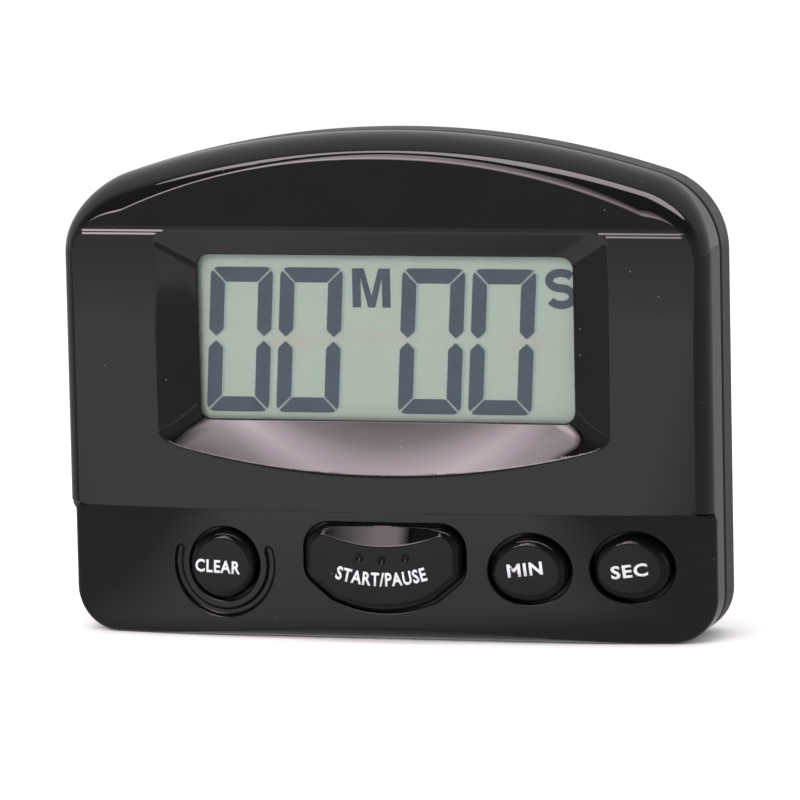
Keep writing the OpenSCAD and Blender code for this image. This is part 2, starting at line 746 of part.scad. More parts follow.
front_casing();
rear_casing();
lens_window();
display_front_glass();
display_rear_glass();
display_reflector();
zebra_strip();
circuit_board();
chip_blob();
timing_crystal();
chip_capacitors();
chip_resistors();
tuning_coil();
keypad_mat();
clear_key();
start_key();
minute_key();
second_key();
contact_pill(key_at()[0]);  // clear_contact_pill
contact_pill(key_at()[1]);  // start_contact_pill
contact_pill(key_at()[2]);  // minute_contact_pill
contact_pill(key_at()[3]);  // second_contact_pill
buzzer_disc();
buzzer_ceramic();
buzzer_springs();
battery_cell();
battery_clip();
battery_spring();
battery_cover();
back_magnet();
stand_leg();
stand_hinge_pin();
case_screws();
board_screws();
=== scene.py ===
import math

import bmesh
import bpy
import numpy as np
from mathutils import Matrix, Vector
from mathutils.geometry import delaunay_2d_cdt


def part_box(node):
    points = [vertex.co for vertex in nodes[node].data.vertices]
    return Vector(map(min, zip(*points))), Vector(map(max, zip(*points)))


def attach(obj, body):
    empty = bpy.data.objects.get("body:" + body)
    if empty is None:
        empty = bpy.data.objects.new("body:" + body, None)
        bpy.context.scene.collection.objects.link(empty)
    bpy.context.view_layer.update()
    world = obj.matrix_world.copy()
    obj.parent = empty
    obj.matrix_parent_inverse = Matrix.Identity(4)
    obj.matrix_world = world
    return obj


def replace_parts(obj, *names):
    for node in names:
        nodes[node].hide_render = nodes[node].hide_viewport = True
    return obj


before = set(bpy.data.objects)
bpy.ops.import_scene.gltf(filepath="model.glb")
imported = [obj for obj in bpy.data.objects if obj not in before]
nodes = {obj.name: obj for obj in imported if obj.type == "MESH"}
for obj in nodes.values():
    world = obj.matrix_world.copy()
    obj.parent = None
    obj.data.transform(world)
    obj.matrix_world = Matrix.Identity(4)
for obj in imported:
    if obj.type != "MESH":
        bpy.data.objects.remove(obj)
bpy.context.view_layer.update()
mm = 0.001
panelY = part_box("front_casing")[0].y  # depths below are in mm behind this plane
print("frame loaded", len(nodes), "nodes")


# Camera, floor and light.

view = {
    "azimuth": 15.093, "elevation": 7.525, "roll": -1.212,
    "distance": 876.7, "aim": (0, 0, 33), "lens": 297.0, "shift": (0.0038, -0.0168),
}


def makeCamera():
    turn, rise, roll = (math.radians(view[k]) for k in ("azimuth", "elevation", "roll"))
    back = Vector((math.sin(turn) * math.cos(rise), -math.cos(turn) * math.cos(rise), math.sin(rise)))
    right = Vector((math.cos(turn), math.sin(turn), 0))
    up = right.cross(-back)
    right, up = (math.cos(roll) * right + math.sin(roll) * up, -math.sin(roll) * right + math.cos(roll) * up)
    camera = bpy.data.objects.new("camera", bpy.data.cameras.new("camera"))
    bpy.context.scene.collection.objects.link(camera)
    axes = Matrix((right, up, back)).transposed().to_4x4()
    camera.matrix_world = Matrix.Translation((Vector(view["aim"]) + back * view["distance"]) * mm) @ axes
    camera.data.lens = view["lens"]
    camera.data.shift_x, camera.data.shift_y = view["shift"]
    camera.data.clip_start = 0.05
    bpy.context.scene.camera = camera


makeCamera()


def linear(hexCode):
    out = []
    for i in (1, 3, 5):
        c = int(hexCode[i:i + 2], 16) / 255
        out.append(c / 12.92 if c <= 0.04045 else ((c + 0.055) / 1.055) ** 2.4)
    return (*out, 1)


# Adds one node; a setting or source that is a node or a socket is linked, any other value is set.
def addNode(tree, kind, settings=None, sources=None):
    node = tree.nodes.new(kind)
    for key, value in {**(settings or {}), **(sources or {})}.items():
        if isinstance(value, bpy.types.Node):
            value = value.outputs[0]
        if isinstance(value, bpy.types.NodeSocket):
            tree.links.new(value, node.inputs[key])
        elif isinstance(key, int) or key in node.inputs:
            node.inputs[key].default_value = value
        else:
            setattr(node, key, value)
    return node


def newMaterial(name):
    material = bpy.data.materials.new(name)
    material.use_nodes = True
    tree = material.node_tree
    tree.nodes.clear()
    surface = addNode(tree, "ShaderNodeBsdfPrincipled")
    addNode(tree, "ShaderNodeOutputMaterial", None, {"Surface": surface.outputs[0]})
    place = addNode(tree, "ShaderNodeTexCoord").outputs["Object"]
    return material, tree, surface, place


# Gives a ramp its stops, as grey levels or hex colours, and returns its output.
def setStops(node, stops):
    while len(node.color_ramp.elements) < len(stops):
        node.color_ramp.elements.new(0.5)
    for element, (at, colour) in zip(node.color_ramp.elements, stops):
        element.position = at
        element.color = linear(colour) if isinstance(colour, str) else (colour, colour, colour, 1)
    return node.outputs[0]


# Mottling on object coordinates with blotches grain mm wide: the bare pattern, and the pattern through stops.
def mottle(tree, place, grain, stops, detail=3, stretch=(1, 1, 1)):
    scaled = addNode(tree, "ShaderNodeMapping", {"Scale": stretch}, {"Vector": place})
    size = {"Scale": 1000 / grain, "Detail": detail}
    blotch = addNode(tree, "ShaderNodeTexNoise", size, {"Vector": scaled}).outputs[0]
    return blotch, setStops(addNode(tree, "ShaderNodeValToRGB", None, {"Fac": blotch}), stops)


# A moulded, pressed or drawn finish: two close tones, uneven gloss and a fine relief.
def makeFinish(name, tones, rough, grain, relief, metallic=0.0, stretch=(1, 1, 1), **sockets):
    material, tree, surface, place = newMaterial(name)
    blotch, tone = mottle(tree, place, grain, ((0.3, tones[0]), (0.7, tones[1])), 4, stretch)
    gloss = mottle(tree, place, grain * 3, ((0.3, rough[0]), (0.7, rough[1])), 3, stretch)[1]
    tree.links.new(tone, surface.inputs["Base Color"])
    tree.links.new(gloss, surface.inputs["Roughness"])
    if relief:
        bump = addNode(tree, "ShaderNodeBump", {"Strength": 0.6, "Distance": relief * mm}, {"Height": blotch})
        tree.links.new(bump.outputs[0], surface.inputs["Normal"])
    surface.inputs["Metallic"].default_value = metallic
    for key, value in sockets.items():
        surface.inputs[key].default_value = value
    return material


def placeObject(name, data):
    thing = bpy.data.objects.new(name, data)
    bpy.context.scene.collection.objects.link(thing)
    return thing


# A mesh from points in mm, moved back by depth.
def meshFrom(name, points, faces, depth=0):
    mesh = bpy.data.meshes.new(name)
    mesh.from_pydata((np.asarray(points, float) * mm + (0, depth, 0)).tolist(), [], faces)
    return mesh


# A flat rectangle through four corners.
def sheetMesh(name, corners):
    return meshFrom(name, corners, [(0, 1, 2, 3)])


floorLook = {"tones": ("#f7f7f7", "#f8f8f8"), "half": 3000, "skyStrength": 1.08}


def makeStage():
    half = floorLook["half"]
    mesh = sheetMesh("floor", [(-half, -half, 0), (half, -half, 0), (half, half, 0), (-half, half, 0)])
    # Matt white board: a very even tone with hardly any sheen.
    mesh.materials.append(makeFinish("mattWhiteBoard", floorLook["tones"], (0.8, 0.9), 400, 0))
    placeObject("floor", mesh)
    world = bpy.data.worlds.new("whiteRoom")
    bpy.context.scene.world = world
    world.use_nodes = True
    background = world.node_tree.nodes["Background"]
    background.inputs["Color"].default_value = (1, 1, 1, 1)
    background.inputs["Strength"].default_value = floorLook["skyStrength"]


makeStage()

lights = {
    # distance mm, azimuth from the front, elevation, width and height mm, radiance, colour
    "scoopBox": (600, -17, 31, 360, 300, 6.3, "#ffeef6"),
    "topStrip": (560, 0, 87, 760, 95, 5.0, "#fff0f6"),
}
lampAim = 0.033  # height in metres that the lamps and the panel look at


# The soft box as the gloss sees it: part of a dome, brightest a third of the way up, with soft ends.
panel = {
    "standsFor": ("scoopBox",), "radius": 600, "azimuth": (-38, 8), "elevation": (19, 66), "grid": 12,
    "left": (-36, -30), "right": (-20, 7), "peak": 13.3, "colour": "#ffeef6",
    "rise": ((20, 0.0), (22, 0.3), (24.6, 0.42), (27.4, 0.72), (30.4, 0.94), (33.4, 0.76), (37, 0.55),
             (46, 0.44), (60, 0.38), (65, 0.0)),
}


def makeLights():
    for name, (far, azimuth, elevation, width, height, radiance, colour) in lights.items():
        turn, rise = math.radians(azimuth), math.radians(elevation)
        out = Vector((math.sin(turn) * math.cos(rise), -math.cos(turn) * math.cos(rise), math.sin(rise)))
        lamp = bpy.data.lights.new(name, "AREA")
        lamp.shape = "ELLIPSE" if name == "topStrip" else "RECTANGLE"
        lamp.size, lamp.size_y = width * mm, height * mm
        lamp.energy = radiance * math.pi * width * height * mm * mm
        lamp.color = linear(colour)[:3]
        lampObject = placeObject(name, lamp)
        lampObject.location = Vector((0, 0, lampAim)) + out * far * mm
        lampObject.rotation_euler = out.to_track_quat("Z", "Y").to_euler()
        lampObject.visible_camera = False
        lampObject.visible_glossy = name not in panel["standsFor"]


makeLights()

# A grey tent, a card in front and a plate on the floor, seen only in reflections: they give the black plastic
# its dark surroundings. Their tones are emission strengths from one end to the other.
tent = {
    "radius": 900, "front": 0.36, "back": 0.6, "zenith": 0.12, "backFade": (-0.1, 0.15),
    "zenithFade": (0.3, 0.6), "zenithEnd": (-0.05, 0.1),
}
card = {"y": -355, "halfWidth": 520, "low": 0, "high": 110, "tones": (0.95, 0.36), "fade": (0.0, 0.03)}
plate = {
    "lift": 0.05, "tone": 0.38, "lane": 38, "soft": 8, "spread": 0.08, "turn": 195.0, "tones": (0.8, 1.05),
    "start": (0.012, 0.028), "near": 0.02, "far": 130,
}


def glowMaterial(name, strength, colour="#ffffff"):
    material, tree, surface, place = newMaterial(name)
    tree.nodes.remove(surface)
    axes = addNode(tree, "ShaderNodeSeparateXYZ", None, {0: place}).outputs
    glow = addNode(tree, "ShaderNodeEmission", {"Color": linear(colour)},
                   {"Strength": strength(tree, place, *axes)})
    tree.links.new(glow.outputs[0], tree.nodes["Material Output"].inputs["Surface"])
    return material


# Settings of a map range node between two pairs.
def between(start, end, low=0, high=1):
    return {"From Min": start, "From Max": end, "To Min": low, "To Max": high}


# Strength of the panel by elevation, faded towards its ends.
def panelStrength(tree, place, x, y, z):
    low, high = panel["elevation"]
    onFloor = addNode(tree, "ShaderNodeVectorMath", {"operation": "MULTIPLY", 1: (1, 1, 0)}, {0: place})
    flat = addNode(tree, "ShaderNodeVectorMath", {"operation": "LENGTH"}, {0: onFloor}).outputs["Value"]
    rise = addNode(tree, "ShaderNodeMath", {"operation": "ARCTAN2"}, {0: z, 1: flat})
    share = addNode(tree, "ShaderNodeMapRange", between(math.radians(low), math.radians(high)),
                    {"Value": rise})
    stops = [((at - low) / (high - low), tone) for at, tone in panel["rise"]]
    tone = setStops(addNode(tree, "ShaderNodeValToRGB", None, {"Fac": share}), stops)
    forwards = addNode(tree, "ShaderNodeMath", {"operation": "MULTIPLY"}, {0: y, 1: -1})
    turn = addNode(tree, "ShaderNodeMath", {"operation": "ARCTAN2"}, {0: x, 1: forwards})
    for side, ends in (("left", (0, 1)), ("right", (1, 0))):
        span = between(*map(math.radians, panel[side]), *ends)
        fade = addNode(tree, "ShaderNodeMapRange", span, {"Value": turn})
        tone = addNode(tree, "ShaderNodeMath", {"operation": "MULTIPLY"}, {0: tone, 1: fade})
    return addNode(tree, "ShaderNodeMath", {"operation": "MULTIPLY"}, {0: tone, 1: panel["peak"]})


def panelMesh():
    count = panel["grid"] + 1
    turns, rises = (np.radians(np.linspace(*panel[k], count)) for k in ("azimuth", "elevation"))
    ways = [Vector((math.sin(t) * math.cos(r), -math.cos(t) * math.cos(r), math.sin(r)))
            for r in rises for t in turns]
    lows = [i * count + j for i in range(count - 1) for j in range(count - 1)]
    mesh = bpy.data.meshes.new("softPanel")
    mesh.from_pydata([way * panel["radius"] * mm for way in ways], [],
                     [(i, i + 1, i + 1 + count, i + count) for i in lows])
    return mesh


def tentStrength(tree, place, x, y, z):
    around = addNode(tree, "ShaderNodeMapRange", between(*tent["backFade"], tent["front"], tent["back"]),
                     {"Value": y})
    high = addNode(tree, "ShaderNodeMapRange", between(*tent["zenithFade"]), {"Value": z})
    ahead = addNode(tree, "ShaderNodeMapRange", between(*tent["zenithEnd"], 1, 0), {"Value": y})
    share = addNode(tree, "ShaderNodeMath", {"operation": "MULTIPLY"}, {0: high, 1: ahead})
    return addNode(tree, "ShaderNodeMix", None, {0: share, 2: around, 3: tent["zenith"]})


def cardStrength(tree, place, x, y, z):
    return addNode(tree, "ShaderNodeMapRange", between(*card["fade"], *card["tones"]), {"Value": z})


# A light lane on the floor runs forwards to the card; the floor beside it is grey.
def plateStrength(tree, place, x, y, z):
    sine, cosine = math.sin(math.radians(plate["turn"])), math.cos(math.radians(plate["turn"]))
    dots = [addNode(tree, "ShaderNodeVectorMath", {"operation": "DOT_PRODUCT", 1: way}, {0: place})
            for way in ((sine, cosine, 0), (-cosine, sine, 0))]
    along, across = (dot.outputs["Value"] for dot in dots)
    away = addNode(tree, "ShaderNodeMath", {"operation": "ABSOLUTE"}, {0: across})
    spread = addNode(tree, "ShaderNodeMath", {"operation": "MULTIPLY"}, {0: along, 1: plate["spread"]})
    off = addNode(tree, "ShaderNodeMath", {"operation": "SUBTRACT"}, {0: away, 1: spread})
    low, high = ((plate["lane"] + side * plate["soft"]) * mm for side in (-1, 1))
    inside = addNode(tree, "ShaderNodeMapRange", between(low, high, 1, 0), {"Value": off})
    begun = addNode(tree, "ShaderNodeMapRange", between(*plate["start"]), {"Value": along})
    share = addNode(tree, "ShaderNodeMath", {"operation": "MULTIPLY"}, {0: inside, 1: begun})
    lane = addNode(tree, "ShaderNodeMapRange", between(plate["near"], plate["far"] * mm, *plate["tones"]),
                   {"Value": along})
    return addNode(tree, "ShaderNodeMix", None, {0: share, 2: plate["tone"], 3: lane})


def reflectionOnly(name, mesh, material):
    thing = placeObject(name, mesh)
    mesh.materials.append(material)
    for ray in ("camera", "diffuse", "transmission", "shadow", "volume_scatter"):
        setattr(thing, "visible_" + ray, False)


def makeTent():
    mesh = bpy.data.meshes.new("tent")
    work = bmesh.new()
    bmesh.ops.create_uvsphere(work, u_segments=48, v_segments=24, radius=tent["radius"] * mm)
    work.to_mesh(mesh)
    work.free()
    reflectionOnly("tent", mesh, glowMaterial("tentCloth", tentStrength))
    w, y, low, high = (card[k] for k in ("halfWidth", "y", "low", "high"))
    corners = [(-w, y, low), (w, y, low), (w, y, high), (-w, y, high)]
    reflectionOnly("greyCard", sheetMesh("greyCard", corners), glowMaterial("cardBoard", cardStrength))
    reflectionOnly("softPanel", panelMesh(), glowMaterial("softPanelCloth", panelStrength, panel["colour"]))
    bpy.data.objects["softPanel"].location.z = lampAim
    r, lift = tent["radius"], plate["lift"]
    corners = [(-r, -r, lift), (r, -r, lift), (r, r, lift), (-r, r, lift)]
    reflectionOnly("floorPlate", sheetMesh("floorPlate", corners), glowMaterial("plateBoard", plateStrength))


makeTent()
bpy.context.scene.view_settings.view_transform = "Standard"
print("stage, light and camera made")


# Shapes shared by the shells and keys, in mm.

caseSize = {
    "halfWidth": 44.0, "height": 67.2, "depth": 17.5, "arch": 120.0, "upperCorner": 11.0, "lowerCorner": 6.0,
    "frontEnd": 8.8, "rearStart": 9.4, "wall": 1.8, "grooveLip": 0.45,
}
archZ = caseSize["height"] - caseSize["arch"]
cornerX = caseSize["halfWidth"] - caseSize["upperCorner"]
cornerZ = archZ + math.sqrt((caseSize["arch"] - caseSize["upperCorner"]) ** 2 - cornerX ** 2)
cornerAngle = math.atan2(cornerZ - archZ, cornerX)


def softMax(a, b, k):
    return np.maximum(a, b) + np.clip(k - np.abs(a - b), 0, None) ** 2 / (4 * k)


def softMin(a, b, k):
    return -softMax(-a, -b, k)


def smooth(x, low, high):
    t = np.clip((x - low) / (high - low), 0, 1)
    return t * t * (3 - 2 * t)


# Distance inwards from the case outline, and how far the nearest edge belongs to the arch (0 side, 1 top).
def caseInset(x, z):
    ax = np.abs(x)
    side, low = caseSize["halfWidth"], caseSize["lowerCorner"]
    d = np.minimum(side - ax, z)
    d = np.where((ax > side - low) & (z < low), low - np.hypot(ax - side + low, z - low), d)
    onArch = (z > 30) & (ax * (cornerZ - archZ) < (z - archZ) * cornerX)
    d = np.where(onArch, np.minimum(d, caseSize["arch"] - np.hypot(x, z - archZ)), d)
    inCorner = ~onArch & (z > cornerZ) & (ax > cornerX)
    d = np.where(inCorner, caseSize["upperCorner"] - np.hypot(ax - cornerX, z - cornerZ), d)
    angle = np.arctan2(np.clip(z - cornerZ, 0, None), np.clip(ax - cornerX, 1e-6, None))
    angle = np.where(onArch, cornerAngle, angle)
    return d, smooth(angle / cornerAngle, 0.1, 1.0)


# Closed loop of the case outline, drawn in by inset; its points keep their order from ring to ring.
def caseLoop(inset, step=0.8):
    side = caseSize["halfWidth"] - inset
    low = max(caseSize["lowerCorner"] - inset, 0.02)
    lowX, lowZ = side - low, inset + low
    upper, arch = caseSize["upperCorner"] - inset, caseSize["arch"] - inset
    half = []
    n = int(38 / step)
    half += [(lowX * (i + 0.5) / n, inset) for i in range(n)]
    half += [(lowX + low * math.sin(a), lowZ - low * math.cos(a)) for a in np.linspace(0, math.pi / 2, 13)]
    n = int(45 / step)
    half += [(side, lowZ + (cornerZ - lowZ) * (i + 1) / n) for i in range(n - 1)]
    half += [(cornerX + upper * math.cos(a), cornerZ + upper * math.sin(a))
             for a in np.linspace(0, cornerAngle, 20)]
    n = int(36 / step)
    half += [(arch * math.cos(a), archZ + arch * math.sin(a))
             for a in cornerAngle + (math.pi / 2 - cornerAngle) * (np.arange(n - 1) + 1) / n]
    half = np.array(half)
    top = np.array([[0, archZ + arch]])
    return np.concatenate([half, top, half[::-1] * (-1, 1)])


# Points round the hull of some circles (x, z, r), grown; long straight runs are filled in.
def hullLoop(circles, grow=0.0, limit=None, step=0.5):
    c = np.array(circles, float)
    a = np.radians(np.arange(0, 360, 4))
    u = np.stack([np.cos(a), np.sin(a)], 1)
    best = np.argmax(c[:, :2] @ u.T + c[:, 2:3], axis=0)
    base = c[best, :2] + u * c[best, 2:3]
    grown = c[best, :2] + u * (c[best, 2:3] + grow)
    points = []
    for i in range(len(a)):
        j = (i + 1) % len(a)
        n = max(1, int(np.hypot(*(base[j] - base[i])) / step + 0.5))
        points += [grown[i] + (grown[j] - grown[i]) * k / n for k in range(n)]
    points = np.array(points)
    if limit:
        centre, r = np.array(limit[:2]), limit[2] + grow
        reach = np.hypot(*(points - centre).T)
        points = np.where((reach > r)[:, None], centre + (points - centre) * (r / reach)[:, None], points)
    return points


# Distance inwards from a convex loop, negative outside; -9 beyond reach.
def loopInset(x, z, loop, reach=0.5):
    out = np.full(x.shape, -9.0)
    near = ((x > loop[:, 0].min() - reach) & (x < loop[:, 0].max() + reach)
            & (z > loop[:, 1].min() - reach) & (z < loop[:, 1].max() + reach))
    p = np.stack([x[near], z[near]], 1)
    if not len(p):
        return out
    start, edge = loop, np.roll(loop, -1, 0) - loop
    size = np.hypot(*edge.T)
    start, edge, size = start[size > 1e-6], edge[size > 1e-6], size[size > 1e-6]
    distance, inside = np.full(len(p), 9.0), np.ones(len(p), bool)
    for s, e, length in zip(start, edge, size):
        q = p - s
        t = np.clip((q @ e) / length ** 2, 0, 1)
        distance = np.minimum(distance, np.hypot(*(q - t[:, None] * e).T))
        inside &= (e[0] * q[:, 1] - e[1] * q[:, 0]) > -1e-9
    out[near] = np.where(inside, distance, -distance)
    return out


def rectLoop(x0, x1, z0, z1, r, grow=0.0, step=0.5):
    circles = [(x, z, r) for x in (x0 + r, x1 - r) for z in (z0 + r, z1 - r)]
    return hullLoop(circles, grow, None, step)


def ringLoop(x, z, r, count=64):
    a = np.linspace(0, 2 * math.pi, count, endpoint=False)
    return np.stack([x + r * np.cos(a), z + r * np.sin(a)], 1)


def gridPoints(x0, x1, z0, z1, step):
    x, z = np.meshgrid(np.arange(x0, x1 + step / 2, step), np.arange(z0, z1 + step / 2, step))
    return np.stack([x.ravel(), z.ravel()], 1)


# Points over x at the heights z, which may be one number.
def rowPoints(x, z):
    return np.stack([x, 0 * x + z], 1)


# Depth of a rounded edge of radius r that meets the wall at depth at, d inwards from the wall.
def edgeDepth(d, r, at):
    inner = r - np.clip(d, 0, r)
    return at - np.sqrt(np.clip(r * r - inner * inner, 0, None)) - np.clip(d - r, 0, None)


# Unit normals of a sheet y = f(x, z) at points; facing is -1 towards the front, 1 towards the back.
def sheetNormals(f, x, z, facing):
    h = 0.002
    gx = (f(x + h, z) - f(x - h, z)) / (2 * h)
    gz = (f(x, z + h) - f(x, z - h)) / (2 * h)
    n = np.stack([-gx, np.ones_like(gx), -gz], 1) * facing
    return n / np.linalg.norm(n, axis=1)[:, None]


# A normal for each corner; near a crease it is taken a little inside its own triangle.
def cornerNormals(f, flat, faces, facing):
    x, z = flat.T
    normals = sheetNormals(f, x, z, facing)[faces]
    points = np.stack([x, f(x, z), z], 1)[faces]
    face = np.cross(points[:, 1] - points[:, 0], points[:, 2] - points[:, 0])
    face *= facing * np.sign(face[:, 1:2]) / np.maximum(np.linalg.norm(face, axis=1), 1e-12)[:, None]
    odd = ((normals * face[:, None]).sum(2) < 0.99).any(1)
    corner = flat[faces[odd]]
    nudged = corner + (corner.mean(1, keepdims=True) - corner) * 0.2
    nx, nz = nudged.reshape(-1, 2).T
    normals[odd] = sheetNormals(f, nx, nz, facing).reshape(-1, 3, 3)
    return normals


pointGap = 0.012  # mm between points of a sheet at the least


def triangulate(loops, clouds):
    points, edges, used = [], [], 0
    for loop in loops:
        edges += [(used + i, used + (i + 1) % len(loop)) for i in range(len(loop))]
        points.append(loop)
        used += len(loop)
    fixed = np.concatenate(points)
    cloud = np.concatenate(clouds)
    keys = np.round(cloud / pointGap).astype(int)
    taken = set(map(tuple, np.round(fixed / pointGap).astype(int).tolist()))
    chosen = []
    for p, key in zip(cloud.tolist(), map(tuple, keys.tolist())):
        if key not in taken:
            taken.add(key)
            chosen.append(p)
    everything = fixed.tolist() + chosen
    result = delaunay_2d_cdt([Vector(p) for p in everything], edges, [], 0, 1e-6, False)
    return np.array([tuple(v) for v in result[0]]), np.array([f for f in result[2] if len(f) == 3])


# Puts a finished mesh in the scene as a piece of a body.
def makePiece(name, mesh, body):
    piece = placeObject(name, mesh)
    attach(piece, body)
    return piece


def pieceFrom(name, points, faces, material, normals, body):
    mesh = meshFrom(name, points, faces, panelY)
    mesh.polygons.foreach_set("use_smooth", [normals is not None] * len(mesh.polygons))
    if normals is not None:
        mesh.normals_split_custom_set(normals.tolist())
    mesh.materials.append(material)
    return makePiece(name, mesh, body)


# Two sheets over one triangulation, joined along every free edge into a closed solid.
def sheetSolid(loops, clouds, keep, frontDepth, backDepth):
    flat, faces = triangulate(loops, clouds)
    centre = flat[faces].mean(1)
    faces = faces[keep(centre[:, 0], centre[:, 1])]
    used = np.unique(faces)
    renumber = np.full(len(flat), -1)
    renumber[used] = np.arange(len(used))
    flat, faces = flat[used], renumber[faces]
    x, z = flat.T
    n = len(flat)
    points = np.concatenate([np.stack([x, frontDepth(x, z), z], 1), np.stack([x, backDepth(x, z), z], 1)])
    seen = dict.fromkeys(edge for a, b, c in faces.tolist() for edge in ((a, b), (b, c), (c, a)))
    free = [(a, b) for a, b in seen if (b, a) not in seen]
    outward = np.zeros((n, 2))
    for a, b in free:
        dx, dz = flat[b] - flat[a]
        size = math.hypot(dx, dz) or 1
        outward[a] += (dz / size, -dx / size)
        outward[b] += (dz / size, -dx / size)
    outward /= np.maximum(np.linalg.norm(outward, axis=1), 1e-9)[:, None]
    frontNormals = cornerNormals(frontDepth, flat, faces, -1)
    backNormals = cornerNormals(backDepth, flat, faces, 1)
    # On the free edge a steep sheet turns into the wall without a crease.
    onEdge = np.zeros(n, bool)
    onEdge[np.array(free).ravel()] = True
    wall = np.stack([outward[:, 0], np.zeros(n), outward[:, 1]], 1)
    for normals in (frontNormals, backNormals):
        steep = onEdge[faces] & ((normals * wall[faces]).sum(2) > 0.8)
        normals[steep] = wall[faces][steep]
    allFaces = faces.tolist() + (faces[:, ::-1] + n).tolist()
    allNormals = [frontNormals.reshape(-1, 3), backNormals[:, ::-1].reshape(-1, 3)]
    for a, b in free:
        allFaces.append([b, a, a + n, b + n])
        allNormals.append(wall[[b, a, a, b]])
    return points, allFaces, np.concatenate(allNormals)


# Front shell.

front = {
    "sideEdge": (4.25, 3.4), "topEdge": (8.9, 8.0), "visorZ": 55.4, "visorLean": 9.7,
    "bezelHalf": 30.85, "bezelTop": 54.4, "bezelSide": 5.25, "bezelLip": 3.3, "bezelDepth": 2.3,
    "bezelArc": 108.0, "bezelLow": 22.0, "bezelRound": 1.4, "footBow": 0.14, "windowHalf": 25.6,
    "windowLow": 29.15, "windowTop": 51.1, "windowCorner": 1.6, "deckZ": 17.2, "deckRadius": 260.0,
    "keyGap": 0.35, "keyLip": 0.25, "windowLip": 0.2, "rimWidth": 1.0, "rebate": 2.0, "rebateDepth": 0.75,
    # half width, low, high and depth of the window's seat and of the display's pocket
    "seat": (28, 26.75, 53.5, 2.8), "pocket": (27.6, 21.15, 53.1, 3.45),
    # rows of points close to the deck's step, from its line, and how far they have the sheet to themselves
    "stepRows": (-0.5, -0.3, -0.18, -0.1, -0.04, 0, 0.04, 0.08, 0.12, 0.17, 0.23, 0.3, 0.38, 0.47, 0.57, 0.7),
    "stepReach": 0.75,
}
# The visor's crease is rounded most a little right of the middle.
crease = {"middle": 10, "fade": (6, 38), "wide": 0.42, "narrow": 0.12}
arcGroove = {"radius": 6.55, "width": 1.3, "depth": 0.6, "endZ": 11.7}
fineLine = {"tops": (54.62, 54.2), "high": 0.24, "out": 0.085, "root": 0.04, "from": (29.2, 30.2), "to": 41.2,
            "tip": 0.5, "base": 0.06}
clearAt, startAt, minuteAt, secondAt = (-22.4, 9.85), (-0.1, 9.9), (19.5, 10.05), (33.05, 10.35)
egg = {"halfX": 2.6, "halfZ": 1.75, "radius": 2.6, "taper": 0.14, "sink": 0.05}


def eggCircles(x, z):
    turns = np.radians(range(0, 360, 12))
    return [(x + egg["halfX"] * math.cos(a) * (1 - egg["taper"] * math.sin(a)),
             z - egg["sink"] + egg["halfZ"] * math.sin(a), egg["radius"]) for a in turns]


startX, startZ = startAt
keyForms = {
    "clear": ([(*clearAt, 4.6)], None),
    "start": ([(startX + s * dx, startZ + dz, r) for s in (-1, 1)
               for dx, dz, r in ((7.5, 2.4, 3.2), (8.1, 0.2, 2.6), (5.7, -2.6, 2.0), (4, -5.9, 0.1))],
              (startX, startZ + 10.4, 16.1)),
    "minute": (eggCircles(*minuteAt), None),
    "second": (eggCircles(*secondAt), None),
}
keyLoops = {name: hullLoop(form[0], 0, form[1]) for name, form in keyForms.items()}
holeLoops = {name: hullLoop(form[0], front["keyGap"], form[1]) for name, form in keyForms.items()}
windowBox = (-front["windowHalf"], front["windowHalf"], front["windowLow"], front["windowTop"])
windowLoop = rectLoop(*windowBox, front["windowCorner"])


def deckDepth(x):
    return front["deckRadius"] - np.sqrt(front["deckRadius"] ** 2 - x * x)


def bezelLow(x):
    return front["bezelLow"] + front["bezelArc"] - np.sqrt(front["bezelArc"] ** 2 - x * x)


def bezelDepth(x, z):
    deep = front["bezelDepth"]
    side = deep * (front["bezelHalf"] - np.abs(x)) / front["bezelSide"]
    top = deep * (front["bezelTop"] - z) / front["bezelLip"]
    low = bezelLow(np.clip(x, -31, 31))
    foot = np.clip((z - low) / (front["windowLow"] - low), -1, 1.5)
    foot = deep * (foot + front["footBow"] * foot * (1 - foot))
    ramps = softMin(softMin(side, top, front["bezelRound"]), foot, front["bezelRound"])
    return softMin(ramps, deep + 0 * x, 0.05)


# Rounded lip of radius r round an opening.
def lipDepth(x, z, loop, r):
    out = np.clip(-loopInset(x, z, loop), 0, 9)
    return np.where(out < r, r - np.sqrt(np.clip(r * r - (r - out) ** 2, 0, None)), 0)


